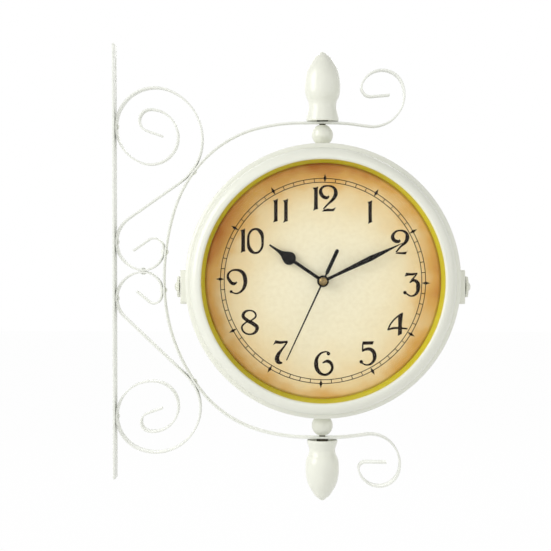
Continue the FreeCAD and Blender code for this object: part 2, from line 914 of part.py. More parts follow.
# ======== clock unit: one behind each bezel ========
def make_bezel():
    """A spun sheet ring: a long skirt, a bead, a groove, a rolled front and an inner lip."""
    t = sheet_thickness
    inner = bezel_inner_radius
    outer = bezel_outer_radius
    back = seam_gap
    bead_start = crest_depth - bead_setback
    bead_end = bead_start + bead_depth
    groove = outer - groove_depth
    shoulder = V(outer - shoulder_inset, -(crest_depth - shoulder_setback), 0)
    crest = V(crest_radius, -crest_depth, 0)
    lip_top = V(lip_radius, -(crest_depth - lip_round), 0)
    lip_mid = V(lip_radius + 0.3 * (crest_radius - lip_radius), -(crest_depth - 0.3 * lip_round), 0)
    lip_end = V(lip_radius, -glass_front, 0)
    seat = V(glass_radius + glass_play, -glass_front, 0)
    lining = V(groove - t - lining_gap, -(crest_depth - lining_setback), 0)
    groove_point = V(groove, -(bead_end + groove_run), 0)
    face_point = V(outer - face_inset, -(bead_end + face_run), 0)
    undercut = outer - bead_undercut
    edges = [
        line(V(inner, -back, 0), V(outer, -back, 0)),
        line(V(outer, -back, 0), V(outer, -bead_start, 0)),
        arc(
            V(outer, -bead_start, 0),
            V(bead_radius, -(bead_start + bead_end) / 2, 0),
            V(undercut, -bead_end, 0),
        ),
        line(V(undercut, -bead_end, 0), groove_point),
        line(groove_point, face_point),
        arc(face_point, shoulder, crest),
        arc(crest, lip_mid, lip_top),
        line(lip_top, lip_end),
        line(lip_end, seat),
        arc(seat, lining, V(inner, -(bead_start + t), 0)),
        line(V(inner, -(bead_start + t), 0), V(inner, -back, 0)),
    ]
    bezel = revolve_about_depth(edges)
    reach = 2 * bead_radius
    neck = ball_neck_diameter / 2 + neck_notch_gap
    screw = side_screw_diameter / 2 + neck_notch_gap
    bezel = bezel.cut(rod(neck, reach, V(0, 0, -reach / 2), Z_AXIS))
    return bezel.cut(rod(screw, reach, V(-reach / 2, 0, -side_screw_drop), X_AXIS))


def make_inner_ring():
    """The coloured ring between the glass and the dial: a flange and a sloping wall."""
    top = lip_radius + ring_shadow
    foot = top - ring_step_in
    rim = glass_radius
    t = ring_sheet
    near = ring_front
    corners = [
        V(rim, -near, 0),
        V(top, -near, 0),
        V(foot, -dial_front, 0),
        V(foot + t, -dial_front, 0),
        V(top + t, -(near - t), 0),
        V(rim, -(near - t), 0),
    ]
    edges = [line(corners[k], corners[(k + 1) % len(corners)]) for k in range(len(corners))]
    return revolve_about_depth(edges)


def make_dial():
    dial = depth_rod(dial_radius, dial_back, dial_front)
    return dial.cut(depth_rod(bush_diameter / 2 + 0.1, dial_back, dial_front))


def make_retainer():
    """A flat ring behind the dial that reaches the skirt of the bezel."""
    reach = bezel_inner_radius - running_fit
    ring = depth_rod(reach, retainer_back, retainer_front)
    return ring.cut(depth_rod(dial_radius - retainer_width, retainer_back, retainer_front))


def battery_place():
    """Centre of the battery: its height and its depth."""
    half = movement_size / 2
    z = -half + movement_wall + battery_clearance + battery_diameter / 2
    depth = movement_front - movement_front_wall - battery_clearance - battery_diameter / 2
    return z, depth


def make_movement_case():
    half = movement_size / 2
    box = depth_box(movement_size, movement_size, movement_back, movement_front)
    upright = [e for e in box.Edges if abs(e.Length - movement_depth) < 1e-6]
    box = box.makeFillet(movement_corner_radius, upright)
    battery_z, battery_depth = battery_place()
    bay_top = battery_z + battery_diameter / 2 + battery_clearance
    bay_bottom = battery_z - battery_diameter / 2 - battery_clearance
    bay_half = battery_bay_length() / 2
    bay_front = movement_front - movement_front_wall
    bay = Part.makeBox(
        2 * bay_half,
        bay_front - movement_back,
        bay_top - bay_bottom,
        V(-bay_half, -bay_front, bay_bottom),
    )
    room_bottom = bay_top + battery_web
    room_side = half - movement_wall
    room = Part.makeBox(
        2 * room_side,
        movement_front - movement_wall - movement_back,
        room_side - room_bottom,
        V(-room_side, -(movement_front - movement_wall), room_bottom),
    )
    box = box.cut(bay).cut(room)
    bush = depth_rod(bush_diameter / 2, movement_front - movement_wall, movement_front + bush_length)
    box = box.fuse(bush).removeSplitter()
    hole = depth_rod(hour_tube_diameter / 2 + running_fit, movement_back, dial_front + bush_length)
    return box.cut(hole)


def battery_bay_length():
    return battery_length + 2 * (contact_thickness + contact_room)


def make_movement_cover():
    """The back cover of the wheel chamber, let in flush with the case's back edge."""
    half = movement_size / 2
    battery_z, _ = battery_place()
    bottom = battery_z + battery_diameter / 2 + battery_clearance + battery_web + cover_gap
    side = half - movement_wall - cover_gap
    cover = Part.makeBox(
        2 * side,
        cover_thickness,
        side - bottom,
        V(-side, -(movement_back + cover_thickness), bottom),
    )
    hole = setting_shaft_diameter / 2 + running_fit
    cover = cover.cut(depth_rod(hole, movement_back, movement_front, 0, pair_distance))
    hole = second_arbor_diameter / 2 + running_fit
    return cover.cut(depth_rod(hole, movement_back, movement_front))


def make_battery():
    z, depth = battery_place()
    half = battery_length / 2
    body = rod(battery_diameter / 2, battery_length - battery_tip_length, V(-half, -depth, z), X_AXIS)
    tip = rod(
        battery_tip_diameter / 2,
        battery_tip_length,
        V(half - battery_tip_length, -depth, z),
        X_AXIS,
    )
    return body.fuse(tip).removeSplitter()


def make_battery_contacts():
    """A spring leaf at the flat end of the battery and a plate at its tip."""
    z, depth = battery_place()
    half = battery_length / 2
    bay_half = battery_bay_length() / 2
    height = contact_width
    start = half + contact_gap
    low = V(start, -depth - height / 2, z - height / 2)
    tip_plate = Part.makeBox(contact_thickness, height, height, low)
    stem_length = bay_half - contact_gap - start - contact_thickness
    stem_low = low.add(X_AXIS * contact_thickness)
    stem = Part.makeBox(stem_length, contact_thickness, height, stem_low)
    plate = tip_plate.fuse(stem).removeSplitter()
    leaf = mirrored(plate)
    return Part.makeCompound([plate, leaf])


def make_board():
    """The circuit board stands on the chamber's front wall beside the wheels."""
    half = movement_size / 2 - movement_wall
    x = -half + board_length / 2 + board_gap
    z = half - board_width / 2 - board_gap
    front = movement_front - movement_wall - contact_gap
    back = front - board_thickness
    board = depth_box(board_length, board_width, back, front, x, z)
    chip = depth_box(chip_side, chip_side, back - chip_height, back, x + chip_side / 2, z)
    crystal_depth = back - 0.87 * crystal_diameter / 2
    foot = V(x - board_length / 3, -crystal_depth, z - crystal_length / 2)
    crystal = rod(crystal_diameter / 2, crystal_length, foot, Z_AXIS)
    return board.fuse([chip, crystal]).removeSplitter()


def make_coil():
    """The stepping motor's coil on its square core, beside the wheels."""
    half = movement_size / 2 - movement_wall
    x = half - coil_diameter / 2 - coil_gap
    depth = movement_front - movement_wall - wheel_front_gap - coil_diameter / 2
    low = half - coil_length - coil_drop
    winding = rod(coil_diameter / 2, coil_length, V(x, -depth, low), Z_AXIS)
    side = coil_core_side
    core_low = V(x - side / 2, -depth - side / 2, low - coil_core_end)
    core = Part.makeBox(side, side, coil_length + 2 * coil_core_end, core_low)
    cheek_side = coil_diameter + wheel_front_gap
    parts = [core]
    for z in (low - coil_cheek, low + coil_length):
        corner = V(x - cheek_side / 2, -depth - cheek_side / 2, z)
        parts.append(Part.makeBox(cheek_side, cheek_side, coil_cheek, corner))
    return winding.fuse(parts).removeSplitter()


def make_bush_nut():
    base = V(0, -dial_front, 0)
    hole = bush_diameter / 2 + threaded_fit
    return hexagon(bush_nut_across_flats, bush_nut_thickness, hole, base, V(0, -1, 0))


def gear(teeth, module, near, far, bore, x=0.0, z=0.0, phase=0.0):
    """A spur wheel with straight-sided teeth, thinned by the backlash."""
    pitch = module * teeth / 2
    tip = pitch + 0.85 * module
    root = pitch - 1.15 * module
    half_tooth = math.pi * module / 4 - gear_backlash / 4
    outline = []
    for k in range(teeth):
        middle = math.radians(phase) + 2 * math.pi * k / teeth
        root_half = (half_tooth + 0.30 * module) / pitch
        tip_half = (half_tooth - 0.36 * module) / pitch
        for radius, turn in (
            (root, -root_half),
            (tip, -tip_half),
            (tip, tip_half),
            (root, root_half),
        ):
            a = middle + turn
            outline.append(V(x + radius * math.cos(a), -near, z + radius * math.sin(a)))
    face = Part.Face(Part.makePolygon(outline + [outline[0]]))
    wheel = face.extrude(V(0, -(far - near), 0))
    if bore > 0:
        wheel = wheel.cut(depth_rod(bore, near, far, x, z))
    return wheel


def wheel_levels():
    """Depths of the two wheel levels: the hour wheel's, then the minute wheel's behind it."""
    hour_far = movement_front - movement_wall - wheel_front_gap
    hour_near = hour_far - wheel_thickness
    minute_far = hour_near - wheel_level_gap
    minute_near = minute_far - wheel_thickness
    return hour_near, hour_far, minute_near, minute_far


def hand_levels():
    """Depths at which the hour, minute and second hands begin."""
    hour = movement_front + bush_length + hand_above_bush
    minute = hour + hand_thickness + hub_height + hand_spacing
    second = minute + hand_thickness + hub_height + second_hand_spacing
    return hour, minute, second


def make_hour_wheel():
    near, far, _, _ = wheel_levels()
    hour_level, _, _ = hand_levels()
    bore = minute_tube_diameter / 2 + running_fit
    wheel = gear(hour_wheel_teeth, step_module, near, far, bore, phase=gap_above(hour_wheel_teeth))
    top = hour_level + hand_thickness + hub_height + tube_above_hub
    tube = depth_rod(hour_tube_diameter / 2, near, top)
    tube = tube.cut(depth_rod(bore, near, top))
    return wheel.fuse(tube).removeSplitter()


def make_minute_pinion():
    _, _, near, far = wheel_levels()
    _, minute_level, _ = hand_levels()
    bore = second_arbor_diameter / 2 + running_fit
    phase = gap_above(minute_pinion_teeth)
    back = near - pinion_overlap
    pinion = gear(minute_pinion_teeth, gear_module, back, far + pinion_overlap, bore, phase=phase)
    top = minute_level + hand_thickness + hub_height + tube_above_hub
    tube = depth_rod(minute_tube_diameter / 2, back, top)
    tube = tube.cut(depth_rod(bore, back, top))
    return pinion.fuse(tube).removeSplitter()


def gap_above(teeth):
    """The turn in degrees that puts a gap between two teeth straight above the wheel's centre."""
    return 90.0 + 180.0 / teeth


def make_minute_wheel():
    """The minute wheel with its small pinion in front, on the setting shaft above the centre."""
    _, hour_far, near, far = wheel_levels()
    z = pair_distance
    tooth_down = -90.0
    bore = setting_shaft_diameter / 2 + threaded_fit
    wheel = gear(minute_wheel_teeth, gear_module, near, far, bore, 0, z, tooth_down)
    front = hour_far + pinion_overlap
    bore = setting_pivot_diameter / 2
    pinion = gear(step_pinion_teeth, step_module, far, front, bore, 0, z, tooth_down)
    return wheel.fuse(pinion).removeSplitter()


def make_setting_knob():
    """The knob at the back that sets the hands, and its shaft."""
    _, hour_far, _, far = wheel_levels()
    z = pair_distance
    back = movement_back - ball_seat_gap
    disc = fluted_disc(
        knob_diameter / 2,
        setting_knob_height,
        setting_knob_flutes,
        0.5,
        V(0, -(back - setting_knob_height), z),
        V(0, -1, 0),
    )
    shaft = depth_rod(setting_shaft_diameter / 2, back - 0.1, far - 0.05, 0, z)
    pivot_radius = setting_pivot_diameter / 2 - threaded_fit
    pivot = depth_rod(pivot_radius, far - 0.1, hour_far + 0.3, 0, z)
    return disc.fuse([shaft, pivot]).removeSplitter()


def make_second_arbor():
    _, _, near, _ = wheel_levels()
    _, _, second_level = hand_levels()
    top = second_level + hand_thickness
    arbor = depth_rod(second_arbor_diameter / 2, movement_back + 0.2, top)
    wheel = depth_rod(second_wheel_diameter / 2, near - 2.2, near - 1.4)
    return arbor.fuse(wheel).removeSplitter()


def hand_blank(edges, level):
    """A flat hand, drawn pointing up in the X,Z plane, at a depth."""
    face = Part.Face(Part.Wire(edges))
    face.translate(V(0, -level, 0))
    return face.extrude(V(0, -hand_thickness, 0))


def pointed(hand, angle):
    """Turns a hand clockwise from twelve, as seen from in front of the dial."""
    hand.rotate(V(0, 0, 0), Y_AXIS, angle)
    return hand


def make_hour_hand():
    level, _, _ = hand_levels()
    bulb = hour_bulb_diameter / 2
    half = hour_arm_width / 2
    centre = hour_bulb_distance
    lower = centre - math.sqrt(bulb**2 - half**2)
    cheek = math.sqrt(bulb**2 - (hour_cheek_distance - centre) ** 2)
    waist_distance = (hour_cheek_distance + hour_neck_distance) / 2
    edges = []
    for side in (-1, 1):
        root = V(side * half, 0, 0)
        bulb_start = V(side * half, 0, lower)
        bulb_end = V(side * cheek, 0, hour_cheek_distance)
        waist = V(side * hour_nose_waist / 2, 0, waist_distance)
        neck = V(side * hour_neck_width / 2, 0, hour_neck_distance)
        tip = V(side * hour_tip_width / 2, 0, hour_hand_length)
        edges.append(line(root, bulb_start))
        edges.append(arc(bulb_start, V(side * bulb, 0, centre), bulb_end))
        edges.append(arc(bulb_end, waist, neck))
        edges.append(line(neck, tip))
    edges.append(line(V(-half, 0, 0), V(half, 0, 0)))
    end = hour_tip_width / 2
    edges.append(line(V(-end, 0, hour_hand_length), V(end, 0, hour_hand_length)))
    hand = hand_blank(Part.__sortEdges__(edges), level)
    hub = depth_rod(hub_diameter / 2, level, level + hand_thickness + hub_height)
    hand = hand.fuse(hub).removeSplitter()
    hole = depth_rod(hour_tube_diameter / 2 + threaded_fit, level, level + hub_diameter)
    return pointed(hand.cut(hole), hour_hand_angle)


def make_minute_hand():
    _, level, _ = hand_levels()
    root = minute_root_width / 2
    blade = minute_blade_width / 2
    corners = [
        V(-root, 0, 0),
        V(-root, 0, minute_root_length),
        V(-blade, 0, minute_blade_distance),
        V(0, 0, minute_hand_length),
        V(blade, 0, minute_blade_distance),
        V(root, 0, minute_root_length),
        V(root, 0, 0),
    ]
    edges = [line(corners[k], corners[(k + 1) % len(corners)]) for k in range(len(corners))]
    hand = hand_blank(edges, level)
    hub = depth_rod(0.82 * hub_diameter / 2, level, level + hand_thickness + hub_height)
    hand = hand.fuse(hub).removeSplitter()
    hole = depth_rod(minute_tube_diameter / 2 + threaded_fit, level, level + hub_diameter)
    return pointed(hand.cut(hole), minute_hand_angle)


def make_second_hand():
    """A needle with a round-ended paddle behind the centre that balances it."""
    _, _, level = hand_levels()
    half = second_hand_width / 2
    tip = 0.6 * half
    tail = second_tail_width / 2
    low = -second_tail_length
    edges = [
        line(V(-half, 0, -second_tail_neck), V(-tip, 0, second_hand_length)),
        line(V(-tip, 0, second_hand_length), V(tip, 0, second_hand_length)),
        line(V(tip, 0, second_hand_length), V(half, 0, -second_tail_neck)),
        line(V(half, 0, -second_tail_neck), V(tail, 0, -second_tail_start)),
        line(V(tail, 0, -second_tail_start), V(tail, 0, low + tail)),
        arc(V(tail, 0, low + tail), V(0, 0, low), V(-tail, 0, low + tail)),
        line(V(-tail, 0, low + tail), V(-tail, 0, -second_tail_start)),
        line(V(-tail, 0, -second_tail_start), V(-half, 0, -second_tail_neck)),
    ]
    hand = hand_blank(edges, level)
    hub = depth_rod(0.62 * hub_diameter / 2, level, level + hand_thickness)
    hand = hand.fuse(hub).removeSplitter()
    hole = depth_rod(second_arbor_diameter / 2 + threaded_fit, level, level + hub_diameter)
    return pointed(hand.cut(hole), second_hand_angle)


def make_hand_cap():
    _, _, level = hand_levels()
    base = V(0, -(level + hand_thickness + threaded_fit), 0)
    return dome(cap_diameter / 2, cap_height, base, V(0, -1, 0))


def make_unit():
    """Everything that comes away with the front bezel, and the hands and wheels inside it."""
    return {
        "bezel": make_bezel(),
        "glass": depth_rod(glass_radius, glass_back, glass_front),
        "inner_ring": make_inner_ring(),
        "dial": make_dial(),
        "dial_retainer": make_retainer(),
        "movement_case": make_movement_case(),
        "movement_cover": make_movement_cover(),
        "battery": make_battery(),
        "battery_contacts": make_battery_contacts(),
        "circuit_board": make_board(),
        "motor_coil": make_coil(),
        "bush_nut": make_bush_nut(),
        "setting_knob": make_setting_knob(),
        "minute_wheel": make_minute_wheel(),
        "hour_wheel": make_hour_wheel(),
        "minute_pinion": make_minute_pinion(),
        "second_arbor": make_second_arbor(),
        "hour_hand": make_hour_hand(),
        "minute_hand": make_minute_hand(),
        "second_hand": make_second_hand(),
        "hand_cap": make_hand_cap(),
    }


def build():
    nodes = make_bracket()
    centre = V(clock_x, 0, clock_z)
    for name, shape in make_head().items():
        shape.translate(centre)
        nodes[name] = shape
    for name, shape in make_unit().items():
        back = shape.copy()
        back.rotate(V(0, 0, 0), Z_AXIS, 180)
        shape.translate(centre)
        back.translate(centre)
        nodes["front_" + name] = shape
        nodes["rear_" + name] = back
    return nodes


os.makedirs("parts", exist_ok=True)
for name, shape in build().items():
    shape.exportStep("parts/" + name + ".step")
    print(name, len(shape.Solids), shape.isValid(), round(shape.Volume, 1))
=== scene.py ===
import math

import bmesh
import bpy
from mathutils import Matrix, Vector


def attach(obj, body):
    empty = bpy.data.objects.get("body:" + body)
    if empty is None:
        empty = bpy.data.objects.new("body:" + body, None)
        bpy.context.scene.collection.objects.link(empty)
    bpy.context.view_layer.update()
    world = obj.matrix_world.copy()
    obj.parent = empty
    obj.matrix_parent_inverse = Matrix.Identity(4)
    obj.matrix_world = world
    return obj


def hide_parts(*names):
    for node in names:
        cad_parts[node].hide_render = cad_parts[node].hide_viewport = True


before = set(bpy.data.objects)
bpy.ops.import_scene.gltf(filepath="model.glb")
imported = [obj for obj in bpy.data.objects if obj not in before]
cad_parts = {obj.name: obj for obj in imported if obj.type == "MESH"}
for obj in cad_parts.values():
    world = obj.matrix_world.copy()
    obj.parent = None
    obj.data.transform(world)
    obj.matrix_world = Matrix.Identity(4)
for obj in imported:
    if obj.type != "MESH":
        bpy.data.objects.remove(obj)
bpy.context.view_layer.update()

MM = 0.001

# ---------------------------------------------------------------- sizes, in millimetres
clock_x = 169.3
clock_z = -18.9
middle = (clock_x * MM, 0, clock_z * MM)
arm_top = 108.2
arm_bottom = -146.3
arm_over_clock = 127.1
arm_under_clock = 127.4
bar_half_thickness = 0.75
bar_half_width = 6.0
bar_edge_round = 0.35
longest_piece = 12.0
facet_turn = 5.0
facet_length = 5.0
strip_thickness = 1.8
strip_width = 18.0
strip_top = 172.0
strip_bottom = -180.0
slot_height = 150.0
slot_length = 17.0
slot_width = 5.0

skirt_inner = 106.2
skirt_outer = 107.0
bezel_back = 0.4
glass_front = 38.0
glass_back = 36.0
glass_radius = 100.1
lip_radius = 95.8
dial_front = 26.8
dial_radius = 101.1
side_drop = 5.2
stud_notch_radius = 4.1
side_notch_radius = 2.6
notch_depth = 8.0
notch_reach = 103
shank_bore = 2.56
socket_depth = 9.0
stud_bore_depth = 29.0
ball_radius = 8.6
ball_neck_radius = 3.5
ball_bore_radius = 2.52
ball_from_arm = 8.9
ball_arm_gap = 1.0
ball_foot = 106.1
saddle_face = 114.4
saddle_thickness = 9.6
saddle_bow_radius = 107.3
knob_disc_back = 115.4
knob_flutes = 24

hour_level = 30.2
minute_level = 32.1
second_level = 33.6
hand_thickness = 0.5
hour_angle = 304.2
minute_angle = 64.3
second_angle = 204.8

# Turns of the flat bars as (radius, degrees) and straight runs as (length,), from a start and a heading.
arm_over = (
    (169.3, arm_top),
    180.0,
    [(17.4,), (141.0, 15.0), (90.0, 30.0), (103.0, 28.0), (189.0, 17.0), (2.94,)],
)
arm_under = ((169.3, arm_bottom), 180.0, [(10.88,), (142.0, -17.3), (92.0, -35.8), (144.0, -36.9)])
arm_upper_curl = (
    (169.3, arm_top),
    0.0,
    [(8.7,), (120.0, -8.0), (11.7,), (25.4, 117.0), (17.4, 140.0), (7.5, 116.0), (14.5,)],
)
arm_lower_curl = (
    (169.3, arm_bottom),
    0.0,
    [(8.7,), (120.0, 8.0), (10.2,), (24.0, -110.0), (16.8, -155.0), (5.4, -104.0), (17.0,)],
)
upper_scroll_in = ((2.65, 105.35), 270.0, [(31.3, 68.0), (22.2, 203.0), (8.9, 160.0), (13.3,)])
upper_scroll_out = (
    (2.65, 105.35),
    90.0,
    [(31.3, -111.0), (42.4, -124.02), (51.04,), (23.0, 132.02), (16.72, 110.0), (7.9, 118.0), (14.8,)],
)
lower_scroll_in = ((2.65, -129.3), 90.0, [(28.6, -97.0), (20.5, -183.0), (7.6, -151.0), (12.6,)])
lower_scroll_out = (
    (2.65, -129.3),
    270.0,
    [(28.6, 66.0), (36.2, 160.64), (68.64,), (21.2, -140.64), (15.44, -112.0), (5.8, -104.0), (13.1,)],
)


# ---------------------------------------------------------------- colour helpers
def colour(r, g, b):
    """A screen colour of 0 to 255 as the linear colour that the shaders take."""
    def linear(c):
        c = c / 255.0
        return c / 12.92 if c <= 0.04045 else ((c + 0.055) / 1.055) ** 2.4
    return (linear(r), linear(g), linear(b), 1.0)


def new_material(name):
    material = bpy.data.materials.new(name)
    material.use_nodes = True
    tree = material.node_tree
    tree.nodes.clear()
    shader = tree.nodes.new("ShaderNodeBsdfPrincipled")
    output = tree.nodes.new("ShaderNodeOutputMaterial")
    tree.links.new(shader.outputs[0], output.inputs["Surface"])
    return material, tree, shader


def node(tree, kind, **values):
    made = tree.nodes.new(kind)
    for key, value in values.items():
        setattr(made, key, value)
    return made


def ramp(tree, source, stops):
    made = tree.nodes.new("ShaderNodeValToRGB")
    elements = made.color_ramp.elements
    while len(elements) < len(stops):
        elements.new(0.5)
    for element, (place, value) in zip(elements, stops):
        element.position = place
        element.color = value
    tree.links.new(source, made.inputs["Fac"])
    return made


def any_ray(tree, *kinds):
    """1 for a ray of one of the kinds that are named, and 0 for the rest."""
    rays = node(tree, "ShaderNodeLightPath")
    found = rays.outputs[kinds[0]]
    for kind in kinds[1:]:
        either = node(tree, "ShaderNodeMath", operation="MAXIMUM")
        tree.links.new(found, either.inputs[0])
        tree.links.new(rays.outputs[kind], either.inputs[1])
        found = either.outputs[0]
    return found


def blend_to_output(tree, factor, first, second, output_kind):
    """Mixes two shaders by a factor and sends the result to the output node."""
    mixed = node(tree, "ShaderNodeMixShader")
    output = [n for n in tree.nodes if n.bl_idname == output_kind][0]
    tree.links.new(factor, mixed.inputs["Fac"])
    tree.links.new(first.outputs[0], mixed.inputs[1])
    tree.links.new(second.outputs[0], mixed.inputs[2])
    tree.links.new(mixed.outputs[0], output.inputs["Surface"])


# ---------------------------------------------------------------- shader groups shared by the finishes
def new_group(name, inputs):
    """An empty shader group with its inputs and the colour, roughness and normal that it puts out."""
    group = bpy.data.node_groups.new(name, "ShaderNodeTree")
    for label, kind, default in inputs:
        socket = group.interface.new_socket(label, in_out="INPUT", socket_type=kind)
        socket.default_value = default
    for label, kind in (("Color", "Color"), ("Roughness", "Float"), ("Normal", "Vector")):
        group.interface.new_socket(label, in_out="OUTPUT", socket_type="NodeSocket" + kind)
    nodes = group.nodes
    made = (nodes.new("NodeGroupInput"), nodes.new("NodeGroupOutput"), nodes.new("ShaderNodeTexCoord"))
    return group, nodes, group.links, *made


def tone_and_polish(group, inputs, outputs, noise, colours, dulling):
    """Drifts between two colours and dulls the gloss with the same noise."""
    nodes, links = group.nodes, group.links
    tone = nodes.new("ShaderNodeMix")
    tone.data_type = "RGBA"
    links.new(noise.outputs["Fac"], tone.inputs["Factor"])
    links.new(inputs.outputs[colours[0]], tone.inputs["A"])
    links.new(inputs.outputs[colours[1]], tone.inputs["B"])
    links.new(tone.outputs["Result"], outputs.inputs["Color"])
    dull = nodes.new("ShaderNodeMath")
    dull.operation = "MULTIPLY_ADD"
    dull.inputs[1].default_value = dulling
    links.new(noise.outputs["Fac"], dull.inputs[0])
    links.new(inputs.outputs["Gloss"], dull.inputs[2])
    links.new(dull.outputs["Value"], outputs.inputs["Roughness"])


def paint_surface_group():
    """Sprayed enamel: slow drift of tone, a fine orange peel, and a few duller patches."""
    sockets = (
        ("Paint", "NodeSocketColor", (0.8, 0.8, 0.75, 1)),
        ("Shade", "NodeSocketColor", (0.7, 0.7, 0.65, 1)),
        ("Peel Size", "NodeSocketFloat", 900.0),
        ("Peel Depth", "NodeSocketFloat", 0.06),
        ("Gloss", "NodeSocketFloat", 0.3),
    )
    group, nodes, links, inputs, outputs, place = new_group("sprayed_enamel", sockets)
    drift = nodes.new("ShaderNodeTexNoise")
    drift.inputs["Scale"].default_value = 22.0
    drift.inputs["Detail"].default_value = 3.0
    links.new(place.outputs["Object"], drift.inputs["Vector"])
    tone_and_polish(group, inputs, outputs, drift, ("Paint", "Shade"), 0.16)
    peel = nodes.new("ShaderNodeTexNoise")
    peel.inputs["Detail"].default_value = 1.5
    links.new(place.outputs["Object"], peel.inputs["Vector"])
    links.new(inputs.outputs["Peel Size"], peel.inputs["Scale"])
    bump = nodes.new("ShaderNodeBump")
    bump.inputs["Distance"].default_value = 0.00006
    links.new(inputs.outputs["Peel Depth"], bump.inputs["Strength"])
    links.new(peel.outputs["Fac"], bump.inputs["Height"])
    links.new(bump.outputs["Normal"], outputs.inputs["Normal"])
    return group


def brushed_group():
    """Turned or rolled metal: fine lines, small stains and uneven polish."""
    sockets = (
        ("Metal", "NodeSocketColor", (0.6, 0.6, 0.6, 1)),
        ("Stain", "NodeSocketColor", (0.4, 0.4, 0.4, 1)),
        ("Line Size", "NodeSocketFloat", 2500.0),
        ("Gloss", "NodeSocketFloat", 0.25),
    )
    group, nodes, links, inputs, outputs, place = new_group("worked_metal", sockets)
    spots = nodes.new("ShaderNodeTexNoise")
    spots.inputs["Scale"].default_value = 260.0
    spots.inputs["Detail"].default_value = 4.0
    links.new(place.outputs["Object"], spots.inputs["Vector"])
    tone_and_polish(group, inputs, outputs, spots, ("Metal", "Stain"), 0.2)
    lines = nodes.new("ShaderNodeTexNoise")
    lines.inputs["Detail"].default_value = 2.0
    links.new(inputs.outputs["Line Size"], lines.inputs["Scale"])
    links.new(place.outputs["Object"], lines.inputs["Vector"])
    bump = nodes.new("ShaderNodeBump")
    bump.inputs["Distance"].default_value = 0.00005
    bump.inputs["Strength"].default_value = 0.2
    links.new(lines.outputs["Fac"], bump.inputs["Height"])
    links.new(bump.outputs["Normal"], outputs.inputs["Normal"])
    return group


enamel = paint_surface_group()
worked = brushed_group()


def surfaced(name, group, values):
    """A material whose colour, roughness and normal come from one of the shader groups."""
    material, tree, shader = new_material(name)
    surface = node(tree, "ShaderNodeGroup", node_tree=group)
    for label, value in values.items():
        surface.inputs[label].default_value = value
    for label, socket in (("Color", "Base Color"), ("Roughness", "Roughness"), ("Normal", "Normal")):
        tree.links.new(surface.outputs[label], shader.inputs[socket])
    return material, shader


def painted(name, paint, shade, gloss, coat, peel_size=900.0, peel_depth=0.06, shine=0.5):
    values = {"Paint": paint, "Shade": shade, "Gloss": gloss}
    values.update({"Peel Size": peel_size, "Peel Depth": peel_depth})
    material, shader = surfaced(name, enamel, values)
    shader.inputs["Coat Weight"].default_value = coat
    shader.inputs["Coat Roughness"].default_value = 0.12
    shader.inputs["Specular IOR Level"].default_value = shine
    return material


def metal(name, base, stain, gloss, line_size=2500.0):
    values = {"Metal": base, "Stain": stain, "Gloss": gloss, "Line Size": line_size}
    material, shader = surfaced(name, worked, values)
    shader.inputs["Metallic"].default_value = 1.0
    return material


def clear_glass():
    material, tree, shader = new_material("clear_glass")
    shader.inputs["Base Color"].default_value = (1, 1, 1, 1)
    shader.inputs["Roughness"].default_value = 0.0
    shader.inputs["IOR"].default_value = 1.12
    shader.inputs["Transmission Weight"].default_value = 1.0
    through = node(tree, "ShaderNodeBsdfTransparent")
    lighting = any_ray(tree, "Is Shadow Ray", "Is Diffuse Ray")
    blend_to_output(tree, lighting, shader, through, "ShaderNodeOutputMaterial")
    return material


